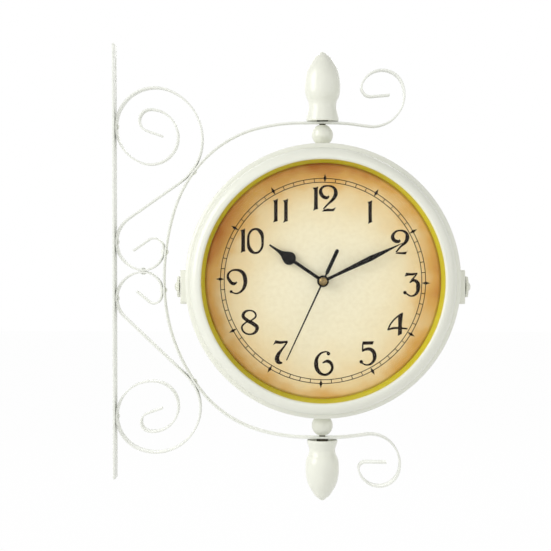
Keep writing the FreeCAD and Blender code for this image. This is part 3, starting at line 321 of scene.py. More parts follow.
def aged_dial_and_ring_shadow(name, centre_x, centre_z):
    """Printed paper that darkens from cream in the middle to orange brown at the rim, with soft blotches, and
    a painted shadow of the gold ring in a thin line just inside it, tinted olive as a painted reflection of
    the ring.
    """
    material, tree, shader = new_material(name)
    place = node(tree, "ShaderNodeTexCoord")
    centred = node(tree, "ShaderNodeMapping")
    centred.inputs["Location"].default_value = (-centre_x, 0, -centre_z)
    tree.links.new(place.outputs["Object"], centred.inputs["Vector"])
    split = node(tree, "ShaderNodeSeparateXYZ")
    tree.links.new(centred.outputs["Vector"], split.inputs[0])
    flat = node(tree, "ShaderNodeCombineXYZ")
    tree.links.new(split.outputs["X"], flat.inputs["X"])
    tree.links.new(split.outputs["Z"], flat.inputs["Y"])
    reach = node(tree, "ShaderNodeVectorMath", operation="LENGTH")
    tree.links.new(flat.outputs[0], reach.inputs[0])
    share = node(tree, "ShaderNodeMath", operation="DIVIDE")
    share.inputs[1].default_value = dial_radius * MM
    tree.links.new(reach.outputs["Value"], share.inputs[0])
    clouds = node(tree, "ShaderNodeTexNoise")
    clouds.inputs["Scale"].default_value = 19.0
    clouds.inputs["Detail"].default_value = 4.0
    clouds.inputs["Roughness"].default_value = 0.6
    tree.links.new(flat.outputs[0], clouds.inputs["Vector"])
    shift = node(tree, "ShaderNodeMath", operation="MULTIPLY_ADD")
    shift.inputs[1].default_value = 0.46
    shift.inputs[2].default_value = -0.23
    tree.links.new(clouds.outputs["Fac"], shift.inputs[0])
    # The browning ramp is shifted so that it reaches further in towards the top and towards minus X.
    lean = node(tree, "ShaderNodeVectorMath", operation="DOT_PRODUCT")
    lean.inputs[1].default_value = (-0.35, 0.6, 0)
    tree.links.new(flat.outputs[0], lean.inputs[0])
    leaning = node(tree, "ShaderNodeMath", operation="ADD")
    tree.links.new(share.outputs[0], leaning.inputs[0])
    tree.links.new(lean.outputs["Value"], leaning.inputs[1])
    moved = node(tree, "ShaderNodeMath", operation="ADD")
    tree.links.new(leaning.outputs[0], moved.inputs[0])
    tree.links.new(shift.outputs[0], moved.inputs[1])
    tones = ramp(
        tree,
        moved.outputs[0],
        [
            (0.0, colour(250, 244, 216)),
            (0.42, colour(248, 238, 204)),
            (0.60, colour(244, 229, 188)),
            (0.76, colour(239, 213, 160)),
            (0.87, colour(224, 174, 94)),
            (1.0, colour(186, 110, 38)),
        ],
    )
    specks = node(tree, "ShaderNodeTexNoise")
    specks.inputs["Scale"].default_value = 300.0
    specks.inputs["Detail"].default_value = 2.0
    tree.links.new(flat.outputs[0], specks.inputs["Vector"])
    grain = ramp(tree, specks.outputs["Fac"], [(0.35, (0.96, 0.95, 0.93, 1)), (0.62, (1, 1, 1, 1))])
    # Painted shadow: a thin line just inside the gold ring where the ring's shade falls on the paper, tinted
    # olive as a painted reflection of the ring.
    edge = ramp(tree, share.outputs[0], [(0.903, (1, 1, 1, 1)), (0.916, (0.58, 0.60, 0.24, 1))])
    mixed = node(tree, "ShaderNodeMix", data_type="RGBA", blend_type="MULTIPLY")
    mixed.inputs["Factor"].default_value = 1.0
    tree.links.new(tones.outputs["Color"], mixed.inputs["A"])
    tree.links.new(grain.outputs["Color"], mixed.inputs["B"])
    rimmed = node(tree, "ShaderNodeMix", data_type="RGBA", blend_type="MULTIPLY")
    rimmed.inputs["Factor"].default_value = 1.0
    tree.links.new(mixed.outputs["Result"], rimmed.inputs["A"])
    tree.links.new(edge.outputs["Color"], rimmed.inputs["B"])
    tree.links.new(rimmed.outputs["Result"], shader.inputs["Base Color"])
    shader.inputs["Roughness"].default_value = 0.55
    shader.inputs["Specular IOR Level"].default_value = 0.2
    return material


paint_white = painted("cream_enamel", colour(238, 239, 227), colour(231, 232, 219), 0.26, 0.35)
paint_bar = painted("bar_enamel", colour(242, 243, 237), colour(236, 238, 230), 0.36, 0.05, 700.0, 0.02)
band_paint = painted("band_enamel", colour(226, 223, 210), colour(214, 210, 196), 0.35, 0.1)
ring_paint = painted(
    "olive_gold_lacquer", colour(212, 203, 42), colour(196, 188, 30), 0.30, 0.15, 1400.0, 0.03
)
hand_paint = painted("hand_black", colour(17, 16, 15), colour(24, 23, 21), 0.42, 0.0, 2200.0, 0.06, 0.12)
ink = painted("dial_ink", colour(32, 25, 21), colour(42, 33, 27), 0.60, 0.0, 3000.0, 0.03, 0.1)
steel = metal("zinc_plate", colour(196, 197, 196), colour(168, 170, 172), 0.22)
brass = metal("polished_brass", colour(160, 139, 96), colour(98, 83, 58), 0.24, 1800.0)
# Steel for the studs and nuts, given a dark colour that paints the shade inside the finial sockets and the
# gaps at the balls where they show.
steel_dark_for_socket_shade = metal("steel_painted_with_socket_shade", colour(92, 88, 78), colour(62, 58, 50), 0.35)
contact_metal = metal("contact_brass", colour(205, 176, 110), colour(176, 140, 84), 0.25)
copper = metal("lacquered_copper", colour(190, 110, 66), colour(150, 78, 44), 0.28, 5200.0)
black_plastic = painted("black_moulding", colour(30, 30, 31), colour(38, 38, 39), 0.42, 0.0, 2600.0, 0.25)
white_plastic = painted(
    "white_moulding", colour(226, 226, 218), colour(216, 216, 206), 0.34, 0.0, 2600.0, 0.08
)
board_green = painted("green_laminate", colour(30, 84, 52), colour(24, 70, 44), 0.30, 0.2, 2000.0, 0.06)
jacket = painted("battery_jacket", colour(60, 84, 118), colour(50, 72, 104), 0.20, 0.4, 1600.0, 0.03)
glass = clear_glass()
dial_paper = aged_dial_and_ring_shadow("aged_dial_and_ring_shadow", clock_x * MM, clock_z * MM)


# ---------------------------------------------------------------- what is printed on the dial
print_turn = 1.1
pen_gain = 0.22
print_lift = 0.01
print_depth = 0.03
track_radii = (78.2, 81.2)
track_line_width = 0.6
minute_tick_width = 0.6

# Each numeral has the place of its middle and its parts, in millimetres. A stroke or a closed loop runs
# through points of (x, y, width), a shape is an outline, and a dot is (x, y, radius).
numerals = {
    1: ((37.0, 54.7), [
        ("shape", [
            (-1.8, 7.9), (-0.3, 8.2), (2.0, 9.3), (1.7, 6.8), (1.6, 0.6), (1.7, -6.8), (2.1, -7.9),
            (0.3, -8.6), (-1.4, -9.5), (-1.0, -7.4), (-1.1, 0.6), (-1.1, 6.3),
        ]),
    ]),
    2: ((61.1, 30.7), [
        ("stroke", [
            (0.0, 1.7, 1.3), (-1.7, 0.6, 2.4), (-5.9, 3.4, 2.8), (-4.5, 7.6, 1.6),
            (-0.6, 9.3, 1.0), (4.5, 7.6, 2.0), (5.6, 4.0, 3.0), (4.5, 0.6, 2.4), (0.3, -3.4, 1.2),
            (-3.4, -7.9, 1.0),
        ]),
        ("shape", [
            (-4.0, -9.0), (-1.9, -7.8), (1.6, -7.8), (5.4, -7.4), (5.7, -6.0), (4.3, -9.6),
            (0.8, -9.4),
        ]),
    ]),
    3: ((69.7, -2.6), [
        ("shape", [
            (-5.1, 6.3), (-4.0, 9.3), (0.0, 8.9), (5.1, 9.3), (4.4, 8.2), (1.7, 7.1), (-1.6, 7.0),
        ]),
        ("stroke", [
            (4.8, 8.9, 1.0), (2.7, 6.0, 1.0), (0.3, 3.4, 1.0),
        ]),
        ("stroke", [
            (-1.1, 1.4, 0.8), (2.0, 3.2, 2.0), (5.2, 1.2, 2.7), (5.6, -1.7, 3.2), (4.5, -6.8, 2.0),
            (0.3, -9.2, 1.0), (-4.0, -7.1, 1.0),
        ]),
        ("dot", [(-4.8, -6.5, 1.3)]),
    ]),
    4: ((59.0, -34.1), [
        ("shape", [
            (4.5, 9.0), (0.5, 6.5), (0.6, 0.0), (0.3, -9.3), (3.6, -7.6), (3.5, 0.0),
        ]),
        ("stroke", [
            (4.1, 8.9, 0.9), (0.3, 6.3, 1.0), (-5.1, 0.6, 1.0), (-7.6, -4.5, 1.0),
        ]),
        ("stroke", [
            (-7.9, -4.5, 1.0), (-3.4, -3.2, 1.6), (1.6, -3.1, 1.4), (7.9, -3.6, 1.0),
        ]),
    ]),
    5: ((35.2, -57.1), [
        ("shape", [
            (-3.8, 9.3), (5.2, 9.5), (4.3, 6.9), (-3.8, 6.7),
        ]),
        ("stroke", [
            (-3.6, 7.9, 1.0), (-3.7, 4.4, 1.0), (-3.7, 1.1, 1.0),
        ]),
        ("stroke", [
            (-4.0, 1.6, 1.1), (-1.2, 3.1, 2.0), (3.5, 2.5, 2.7), (5.8, -2.3, 2.9),
            (4.0, -7.4, 1.7), (-0.6, -9.3, 1.0), (-4.4, -7.8, 0.9),
        ]),
        ("dot", [(-4.8, -6.8, 1.3)]),
    ]),
    6: ((0.6, -65.3), [
        ("dot", [(3.8, 7.8, 1.3)]),
        ("stroke", [
            (4.3, 8.7, 0.9), (1.3, 9.3, 0.9), (-4.0, 6.3, 1.7), (-5.9, 0.0, 3.2),
            (-4.5, -5.6, 2.8), (0.0, -8.9, 1.7), (5.1, -7.1, 1.8), (6.8, -2.3, 2.0),
            (3.6, 1.7, 2.6), (-0.9, 0.5, 0.8),
        ]),
    ]),
    7: ((-33.6, -56.5), [
        ("shape", [
            (-5.9, 5.8), (-4.0, 9.6), (0.0, 8.9), (5.9, 9.3), (4.9, 7.6), (0.0, 6.6), (-3.6, 7.0),
        ]),
        ("stroke", [
            (5.5, 8.6, 1.0), (3.6, 5.6, 1.1), (1.0, 2.1, 1.5), (-2.0, -2.3, 2.9),
            (-2.7, -5.6, 3.5), (-1.3, -7.9, 3.0), (1.4, -8.4, 1.0),
        ]),
    ]),
    8: ((-58.0, -32.6), [
        ("loop", [
            (0.0, 9.3, 1.0), (-5.2, 5.6, 2.4), (-1.7, 1.3, 2.5), (2.9, -1.3, 2.8),
            (5.9, -4.8, 2.7), (0.6, -9.6, 1.1), (-6.2, -4.9, 1.3), (-3.4, -0.5, 1.1),
            (1.7, 1.7, 1.0), (4.9, 5.6, 1.3),
        ]),
    ]),
    9: ((-68.3, -0.5), [
        ("stroke", [
            (0.3, -0.3, 0.8), (-2.4, -1.6, 2.4), (-5.8, 1.2, 2.2), (-7.0, 4.8, 1.7),
            (-4.8, 8.2, 1.1), (-0.4, 9.3, 1.5), (4.4, 7.5, 2.6), (6.7, 2.3, 3.1), (6.2, -3.6, 2.5),
            (3.6, -7.6, 1.5), (0.0, -9.3, 1.0), (-3.6, -8.6, 0.9),
        ]),
        ("dot", [(-4.3, -7.9, 1.1)]),
    ]),
    10: ((-56.1, 32.1), [
        ("shape", [
            (-9.3, 8.2), (-7.6, 8.6), (-5.4, 9.6), (-5.6, 6.7), (-5.6, 0.0), (-5.6, -6.7),
            (-5.2, -8.5), (-7.0, -8.9), (-9.0, -9.9), (-8.6, -7.5), (-8.5, 0.0), (-8.5, 6.7),
        ]),
        ("loop", [
            (2.7, 9.1, 1.5), (6.8, 6.7, 2.9), (8.3, 0.2, 1.8), (6.8, -7.4, 1.5), (2.7, -9.8, 1.5),
            (-1.4, -7.3, 2.9), (-3.0, -0.8, 1.8), (-1.4, 6.8, 1.5),
        ]),
    ]),
    11: ((-33.6, 55.4), [
        ("shape", [
            (-5.9, 8.5), (-4.1, 8.8), (-2.0, 9.9), (-2.3, 6.7), (-2.3, 0.0), (-2.3, -6.3),
            (-2.1, -7.9), (-3.9, -8.4), (-5.9, -9.0), (-5.1, -7.1), (-5.1, 0.0), (-5.1, 6.7),
        ]),
        ("shape", [
            (2.0, 8.5), (3.8, 8.8), (6.1, 9.9), (5.7, 6.7), (5.7, 0.0), (5.7, -6.3), (5.9, -7.9),
            (4.0, -8.4), (2.0, -9.3), (2.9, -7.1), (2.9, 0.0), (2.9, 6.7),
        ]),
    ]),
    12: ((1.5, 65.2), [
        ("shape", [
            (-9.6, 8.8), (-7.4, 8.9), (-5.2, 9.7), (-5.6, 6.7), (-5.6, 0.0), (-5.6, -6.7),
            (-5.2, -8.2), (-7.3, -8.6), (-9.3, -9.6), (-8.6, -7.5), (-8.5, 0.0), (-8.5, 6.7),
        ]),
        ("stroke", [
            (3.4, 2.0, 1.0), (1.1, 0.7, 2.4), (-3.2, 4.5, 2.8), (-2.3, 8.5, 1.6), (2.9, 10.1, 1.0),
            (7.4, 8.2, 2.0), (8.6, 4.0, 3.0), (6.8, 0.0, 2.4), (2.3, -4.5, 1.2), (-1.1, -8.2, 1.0),
        ]),
        ("shape", [
            (-2.3, -10.2), (-1.0, -8.7), (2.3, -7.8), (5.7, -8.2), (8.8, -6.8), (7.0, -9.9),
            (3.2, -10.0),
        ]),
    ]),
}


# ---------------------------------------------------------------- mesh helpers
def sharpen(bm, limit=32.0):
    """Smooth faces, with a hard edge wherever two faces meet at more than the limit in degrees."""
    for face in bm.faces:
        face.smooth = True
    for edge in bm.edges:
        if len(edge.link_faces) == 2:
            edge.smooth = edge.calc_face_angle(0.0) < math.radians(limit)


def finish_piece(name, bm, material, body, replaces=(), place=None, weld=1e-6):
    """Makes an object of a bmesh in metres, at the origin, riding on a body."""
    if weld:
        bmesh.ops.remove_doubles(bm, verts=bm.verts, dist=weld)
    if place is not None:
        bmesh.ops.transform(bm, matrix=place, verts=bm.verts)
    bmesh.ops.recalc_face_normals(bm, faces=bm.faces)
    sharpen(bm)
    mesh = bpy.data.meshes.new(name)
    bm.to_mesh(mesh)
    bm.free()
    piece = bpy.data.objects.new(name, mesh)
    bpy.context.collection.objects.link(piece)
    mesh.materials.append(material)
    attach(piece, body)
    if replaces:
        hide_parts(*replaces)
    return piece


def curve_object(splines, flat=True, resolution=10, **settings):
    """A curve of (cyclic, points) splines. A point is (x, y) with A for smooth or V for a corner."""
    data = bpy.data.curves.new("guide", "CURVE")
    data.dimensions = "2D" if flat else "3D"
    data.resolution_u = resolution
    for key, value in settings.items():
        setattr(data, key, value)
    for cyclic, points in splines:
        spline = data.splines.new("BEZIER")
        spline.bezier_points.add(len(points) - 1)
        spline.use_cyclic_u = cyclic
        for knot, point in zip(spline.bezier_points, points):
            knot.co = (point[0] * MM, point[1] * MM, 0.0)
            kind = "AUTO" if point[2] == "A" else "VECTOR"
            knot.handle_left_type = kind
            knot.handle_right_type = kind
            if len(point) > 3:
                knot.radius = point[3]
    guide = bpy.data.objects.new("guide", data)
    bpy.context.collection.objects.link(guide)
    return guide


def mesh_of(guide):
    """The evaluated mesh of a helper object as a bmesh. The helper is removed."""
    bpy.context.view_layer.update()
    graph = bpy.context.evaluated_depsgraph_get()
    mesh = bpy.data.meshes.new_from_object(guide.evaluated_get(graph))
    bm = bmesh.new()
    bm.from_mesh(mesh)
    data = guide.data
    bpy.data.objects.remove(guide)
    bpy.data.meshes.remove(mesh)
    if isinstance(data, bpy.types.Curve):
        bpy.data.curves.remove(data)
    return bm


def turned(points, steps=128, cyclic=False, resolution=10):
    """A shape turned about local Z from a profile of (radius, height, kind), in millimetres."""
    guide = curve_object([(cyclic, points)], flat=False, resolution=resolution)
    bm = mesh_of(guide)
    bmesh.ops.transform(bm, matrix=Matrix.Rotation(math.radians(90), 4, "X"), verts=bm.verts)
    bmesh.ops.remove_doubles(bm, verts=bm.verts, dist=1e-7)
    for vert in bm.verts:
        if abs(vert.co.x) < 2e-6:
            vert.co.x = 0.0
    bmesh.ops.spin(
        bm,
        geom=bm.verts[:] + bm.edges[:],
        cent=(0, 0, 0),
        axis=(0, 0, 1),
        angle=math.tau,
        steps=steps,
        use_merge=True,
        use_duplicate=False,
    )
    bmesh.ops.remove_doubles(bm, verts=bm.verts, dist=1e-6)
    return bm


def plate(outlines, thickness, round_edge=0.0, resolution=10):
    """A flat plate in X,Y with its back at Z = 0. The first outline is the rim, the others holes."""
    splines = [(True, points) for points in outlines]
    guide = curve_object(
        splines,
        resolution=resolution,
        fill_mode="BOTH",
        extrude=(thickness / 2 - round_edge) * MM,
        bevel_depth=round_edge * MM,
        bevel_resolution=2,
        offset=-round_edge * MM,
    )
    bm = mesh_of(guide)
    bmesh.ops.translate(bm, vec=(0, 0, thickness / 2 * MM), verts=bm.verts)
    return bm


def ring_points(radius, x=0.0, y=0.0, count=8):
    """A circle as smooth points for a plate's outline."""
    points = []
    for k in range(count):
        turn = math.tau * k / count
        points.append((x + radius * math.cos(turn), y + radius * math.sin(turn), "A"))
    return points


def merged(*parts):
    """Joins bmeshes into the first."""
    whole = parts[0]
    for part in parts[1:]:
        mesh = bpy.data.meshes.new("joined")
        part.to_mesh(mesh)
        part.free()
        whole.from_mesh(mesh)
        bpy.data.meshes.remove(mesh)
    return whole


def turned_to(direction, origin):
    """Moves local +Z to a direction and the local origin to a point in millimetres."""
    rotation = Vector((0, 0, 1)).rotation_difference(Vector(direction)).to_matrix().to_4x4()
    return Matrix.Translation(Vector(origin) * MM) @ rotation


def carve(bm, cutters):
    """Cuts rods out of a closed shape. Each cutter is (radius, length, origin, direction), in millimetres."""
    tool = bmesh.new()
    for radius, length, origin, direction in cutters:
        matrix = turned_to(direction, origin) @ Matrix.Translation((0, 0, length / 2 * MM))
        bmesh.ops.create_cone(
            tool,
            cap_ends=True,
            segments=48,
            radius1=radius * MM,
            radius2=radius * MM,
            depth=length * MM,
            matrix=matrix,
        )
    bmesh.ops.recalc_face_normals(tool, faces=tool.faces)
    bmesh.ops.recalc_face_normals(bm, faces=bm.faces)
    objects = []
    for source in (bm, tool):
        mesh = bpy.data.meshes.new("work")
        source.to_mesh(mesh)
        source.free()
        made = bpy.data.objects.new("work", mesh)
        bpy.context.collection.objects.link(made)
        objects.append(made)
    body, cutter = objects
    cut = body.modifiers.new("cut", "BOOLEAN")
    cut.operation = "DIFFERENCE"
    cut.solver = "EXACT"
    cut.object = cutter
    result = mesh_of(body)
    bpy.data.objects.remove(cutter)
    return result


# ---------------------------------------------------------------- the two clock units
def unit_matrix(side, depth=0.0):
    """Local X runs to the viewer's right, local Y up and local Z out of the face, from the clock's middle."""
    centre = Matrix.Translation(middle)
    half_turn = Matrix.Rotation(math.pi, 4, "Z") if side == "rear" else Matrix.Identity(4)
    stand = Matrix.Rotation(math.radians(90), 4, "X")
    return centre @ half_turn @ stand @ Matrix.Translation((0, 0, depth * MM))


def clockwise(angle):
    return Matrix.Rotation(-math.radians(angle), 4, "Z")


def make_bezel(side):
    outline = [
        (skirt_inner, bezel_back, "V"), (skirt_outer - 0.2, bezel_back, "V"),
        (skirt_outer, bezel_back + 0.3, "V"), (skirt_outer, 25.4, "V"), (108.0, 25.9, "A"),
        (109.0, 26.7, "A"), (109.2, 27.6, "A"), (108.7, 28.6, "A"), (107.3, 29.4, "A"),
        (105.6, 29.9, "A"), (104.5, 30.4, "A"), (104.45, 31.0, "A"), (105.1, 31.6, "A"),
        (105.3, 32.6, "A"), (105.0, 35.0, "A"), (103.8, 38.5, "A"), (101.5, 40.8, "A"),
        (98.4, 41.93, "A"), (96.6, 41.7, "A"), (lip_radius + 0.05, 40.6, "A"),
        (lip_radius, glass_front + 0.35, "V"), (lip_radius + 0.2, glass_front + 0.05, "V"),
        (101.2, glass_front + 0.05, "V"), (101.7, 35.0, "A"), (102.4, 32.0, "A"),
        (104.0, 29.0, "A"), (skirt_inner, 26.3, "V"),
    ]
    bm = turned(outline, steps=192, cyclic=True, resolution=5)
    cutters = []
    for sign in (1, -1):
        cutters.append((stud_notch_radius, notch_depth, (0, sign * notch_reach, 0), (0, sign, 0)))
    for sign in (1, -1):
        place = (sign * notch_reach, -side_drop, 0)
        cutters.append((side_notch_radius, notch_depth, place, (sign, 0, 0)))
    bm = carve(bm, cutters)
    finish_piece(
        side + "_bezel_shell",
        bm,
        paint_white,
        side + "_unit",
        (side + "_bezel",),
        unit_matrix(side),
    )


def make_glass(side):
    outline = [
        (0.0, glass_back, "V"), (glass_radius - 0.3, glass_back, "V"),
        (glass_radius, glass_back + 0.3, "V"), (glass_radius, glass_front - 0.3, "V"),
        (glass_radius - 0.3, glass_front, "V"), (0.0, glass_front, "V"),
    ]
    bm = turned(outline, steps=96, resolution=1)
    finish_piece(
        side + "_dial_glass", bm, glass, side + "_unit", (side + "_glass",), unit_matrix(side)
    )


def make_inner_ring(side):
    top = lip_radius + 0.2
    foot = top - 2.5
    outline = [
        (glass_radius, 35.75, "V"), (top + 0.4, 35.75, "V"), (top, 35.4, "A"),
        (top - 0.45, 34.2, "A"), (foot + 0.35, dial_front + 0.9, "A"),
        (foot, dial_front + 0.08, "V"), (foot + 0.7, dial_front + 0.08, "V"),
        (top + 0.5, 34.6, "A"), (glass_radius, 35.05, "V"),
    ]
    bm = turned(outline, steps=160, cyclic=True, resolution=4)
    finish_piece(
        side + "_gold_ring",
        bm,
        ring_paint,
        side + "_unit",
        (side + "_inner_ring",),
        unit_matrix(side),
    )


def mirrored_outline(half):
    """A closed outline from its left half, listed from one end of the middle line to the other."""
    return half + [(-x, y, kind) for x, y, kind in reversed(half)]


def make_hands(side):
    hub_rise = 0.6
    hour = mirrored_outline(
        [
            (-1.3, 0.0, "V"), (-1.3, 27.1, "V"), (-3.75, 28.5, "A"), (-5.25, 32.2, "A"),
            (-4.15, 35.4, "A"), (-2.1, 39.1, "A"), (-1.12, 43.0, "V"), (-0.68, 51.1, "V"),
        ]
    )
    minute = mirrored_outline(
        [
            (-1.15, 0.0, "V"), (-1.15, 12.0, "V"), (-2.15, 42.0, "V"), (-0.15, 69.7, "V"),
        ]
    )
    second = mirrored_outline(
        [
            (-0.72, -27.5, "A"), (-1.38, -26.6, "A"), (-1.45, -25.0, "V"), (-1.45, -7.7, "V"),
            (-0.74, -6.3, "V"), (-0.45, 68.6, "V"),
        ]
    )
    for name, outline, level, angle, hub, bore in (
        ("hour", hour, hour_level, hour_angle, 4.65, 2.53),
        ("minute", minute, minute_level, minute_angle, 3.8, 1.63),
        ("second", second, second_level, second_angle, 2.88, 0.63),
    ):
        blade = plate([outline], hand_thickness, 0.12)
        blade = carve(blade, [(bore + 0.3, 2.0, (0, 0, -0.5), (0, 0, 1))])
        rise = hand_thickness + (hub_rise if name != "second" else 0.0)
        collar = turned(
            [
                (bore, 0.0, "V"), (hub - 0.15, 0.0, "V"), (hub, 0.15, "V"), (hub, rise - 0.2, "V"),
                (hub - 0.2, rise, "V"), (bore + 0.1, rise, "V"), (bore, rise - 0.1, "V"),
            ],
            steps=48,
            cyclic=True,
            resolution=1,
        )
        bm = merged(blade, collar)
        place = unit_matrix(side, level) @ clockwise(angle)
        finish_piece(
            side + "_" + name + "_blade",
            bm,
            hand_paint,
            side + "_" + name,
            (side + "_" + name + "_hand",),
            place,
            weld=0,
        )


def make_cap(side):
    """The brass cap on the hands: a low dome with a shallow dimple."""
    dome = turned(
        [
            (0.0, 1.18, "V"), (0.55, 1.22, "A"), (1.0, 1.46, "A"), (1.9, 1.40, "A"),
            (2.8, 0.98, "A"), (3.2, 0.45, "A"), (3.2, 0.0, "V"), (0.0, 0.0, "V"),
        ],
        steps=48,
        resolution=6,
    )
    place = unit_matrix(side, second_level + hand_thickness + 0.02)
    finish_piece(
        side + "_brass_cap", dome, brass, side + "_second", (side + "_hand_cap",), place
    )


def raised(bm, thickness):
    """Gives a flat sheet in X,Y a thickness along Z."""
    made = bmesh.ops.extrude_face_region(bm, geom=bm.faces[:])["geom"]
    top = [item for item in made if isinstance(item, bmesh.types.BMVert)]
    bmesh.ops.translate(bm, vec=(0, 0, thickness * MM), verts=top)
    return bm


def stroke(points, cyclic, thickness):
    """A pen stroke that swells and thins through points of (x, y, width)."""
    nib = curve_object([(False, [(-0.5, 0.0, "V"), (0.5, 0.0, "V")])], flat=False)
    knots = [(x, y, "A", width + pen_gain) for x, y, width in points]
    guide = curve_object(
        [(cyclic, knots)],
        flat=False,
        resolution=7,
        bevel_mode="OBJECT",
        bevel_object=nib,
        twist_mode="Z_UP",
    )
    bm = mesh_of(guide)
    data = nib.data
    bpy.data.objects.remove(nib)
    bpy.data.curves.remove(data)
    return raised(bm, thickness)


def printed_part(kind, points, thickness):
    if kind == "shape":
        return plate([[(x, y, "V") for x, y in points]], thickness)
    if kind == "dot":
        x, y, radius = points[0]
        return plate([ring_points(radius + pen_gain / 2, x, y)], thickness, resolution=3)
    return stroke(points, kind == "loop", thickness)


def make_track():
    """Two thin circles, a tick for each minute and a four pointed mark for each hour."""
    inner, outer = track_radii
    half = track_line_width / 2
    parts = []
    for radius in track_radii:
        profile = [
            (radius - half, 0.0, "V"), (radius + half, 0.0, "V"), (radius + half, print_depth, "V"),
            (radius - half, print_depth, "V"),
        ]
        parts.append(turned(profile, steps=180, cyclic=True, resolution=1))
    ticks = bmesh.new()
    for minute in range(60):
        if minute % 5:
            size = Matrix.Diagonal((minute_tick_width * MM, (outer - inner) * MM, 1.1 * print_depth * MM, 1))
            out = Matrix.Translation((0, (inner + outer) / 2 * MM, 0))
            place = clockwise(6 * minute + print_turn) @ out @ size
            bmesh.ops.create_cube(ticks, size=1.0, matrix=place)
    parts.append(ticks)
    mark = [
        (-0.1, inner, "V"), (-0.6, outer - 1.4, "V"), (-1.3, outer + 0.2, "V"),
        (-0.6, outer + 1.8, "V"), (-0.1, outer + 3.5, "V"),
    ]
    for hour in range(12):
        spike = plate([mirrored_outline(mark)], 1.3 * print_depth)
        bmesh.ops.transform(spike, matrix=clockwise(30 * hour + print_turn), verts=spike.verts)
        parts.append(spike)
    return parts


def make_dial_print(side):
    """The ink on one dial. Later parts of a numeral lie a hair higher, so that no two tops coincide."""
    parts = make_track()
    for (x, y), shapes in numerals.values():
        for layer, (kind, points) in enumerate(shapes):
            part = printed_part(kind, points, print_depth * (1 + 0.15 * layer))
            bmesh.ops.translate(part, vec=(x * MM, y * MM, 0), verts=part.verts)
            parts.append(part)
    finish_piece(
        side + "_dial_print",
        merged(*parts),
        ink,
        side + "_unit",
        place=unit_matrix(side, dial_front + print_lift),
        weld=0,
    )


for side in ("front", "rear"):
    make_dial_print(side)
    make_bezel(side)
    make_glass(side)
    make_inner_ring(side)
    make_hands(side)
    make_cap(side)


# ---------------------------------------------------------------- bracket
def along_and_left(heading):
    """The directions ahead and to the left of a heading in the X,Z plane."""
    h = math.radians(heading)
    return Vector((math.cos(h), 0, math.sin(h))), Vector((-math.sin(h), 0, math.cos(h)))


def bar(path):
    """Flat bar on edge, swept through its runs and turns in the X,Z plane."""
    (x, z), heading, steps = path
    bm = bmesh.new()
    corners = []
    for across, along in ((-1, -1), (1, -1), (1, 1), (-1, 1)):
        corners.append(
            bm.verts.new((across * bar_half_thickness * MM, along * bar_half_width * MM, 0))
        )
    for k in range(4):
        bm.edges.new((corners[k], corners[(k + 1) % 4]))
    bmesh.ops.bevel(
        bm,
        geom=corners,
        offset=bar_edge_round * MM,
        offset_type="OFFSET",
        segments=3,
        profile=0.5,
        affect="VERTICES",
        material=-1,
    )
    ahead, left = along_and_left(heading)
    place = Matrix((left, Vector((0, 1, 0)), ahead)).transposed().to_4x4()
    place = Matrix.Translation((x * MM, 0, z * MM)) @ place
    bmesh.ops.transform(bm, matrix=place, verts=bm.verts)
    end_verts = bm.verts[:]
    end_edges = bm.edges[:]
    point = Vector((x, 0, z)) * MM
    for step in steps:
        ahead, left = along_and_left(heading)
        if len(step) == 1:
            pieces = max(1, int(step[0] / longest_piece))
            for _ in range(pieces):
                made = bmesh.ops.extrude_edge_only(bm, edges=end_edges)["geom"]
                end_verts = [g for g in made if isinstance(g, bmesh.types.BMVert)]
                end_edges = [
                    g
                    for g in made
                    if isinstance(g, bmesh.types.BMEdge) and all(v in end_verts for v in g.verts)
                ]
                bmesh.ops.translate(bm, vec=ahead * step[0] * MM / pieces, verts=end_verts)
            point = point + ahead * step[0] * MM
        else:
            radius, sweep = step
            side = 1 if sweep > 0 else -1
            centre = point + left * side * radius * MM
            turn = abs(sweep)
            count = max(3, int(turn / facet_turn), int(radius * math.radians(turn) / facet_length))
            made = bmesh.ops.spin(
                bm,
                geom=end_verts + end_edges,
                cent=centre,
                axis=(0, -1, 0),
                angle=math.radians(sweep),
                steps=count,
                use_duplicate=False,
                use_merge=False,
            )["geom_last"]
            end_verts = [g for g in made if isinstance(g, bmesh.types.BMVert)]
            end_edges = [g for g in made if isinstance(g, bmesh.types.BMEdge)]
            point = centre + Matrix.Rotation(-math.radians(sweep), 3, "Y") @ (point - centre)
            heading += sweep
    bmesh.ops.holes_fill(bm, edges=end_edges, sides=0)
    return bm


def close_start(bm):
    """Closes the end of a bar that is still open."""
    rims = [edge for edge in bm.edges if edge.is_boundary]
    bmesh.ops.holes_fill(bm, edges=rims, sides=0)
    return bm


def joined_bar(first, second):
    """Two paths that leave one point in opposite directions, as one bar."""
    whole = merged(bar(first), bar(second))
    bmesh.ops.remove_doubles(whole, verts=whole.verts, dist=2e-6)
    return close_start(whole)


def make_bars():
    arm_top_half = joined_bar(arm_upper_curl, arm_over)
    arm_low_half = joined_bar(arm_lower_curl, arm_under)
    whole = merged(arm_top_half, arm_low_half)
    finish_piece("arm_bar", whole, paint_bar, "bracket", ("clock_arm",))
    upper = joined_bar(upper_scroll_in, upper_scroll_out)
    finish_piece("upper_scroll_bar", upper, paint_bar, "bracket", ("upper_scroll",))
    lower = joined_bar(lower_scroll_in, lower_scroll_out)
    finish_piece("lower_scroll_bar", lower, paint_bar, "bracket", ("lower_scroll",))


def make_strip():
    """The wall strip, with rounded corners and two slots."""
    outlines = [rounded_rectangle(strip_width / 2, strip_bottom, strip_top, 2.0)]
    for height in (slot_height, -slot_height):
        outlines.append(slot_outline(height))
    bm = plate(outlines, strip_thickness, 0.3, resolution=6)
    place = Matrix(((0, 0, 1, 0), (1, 0, 0, 0), (0, 1, 0, 0), (0, 0, 0, 1)))
    finish_piece("wall_strip_bar", bm, paint_bar, "bracket", ("wall_strip",), place)


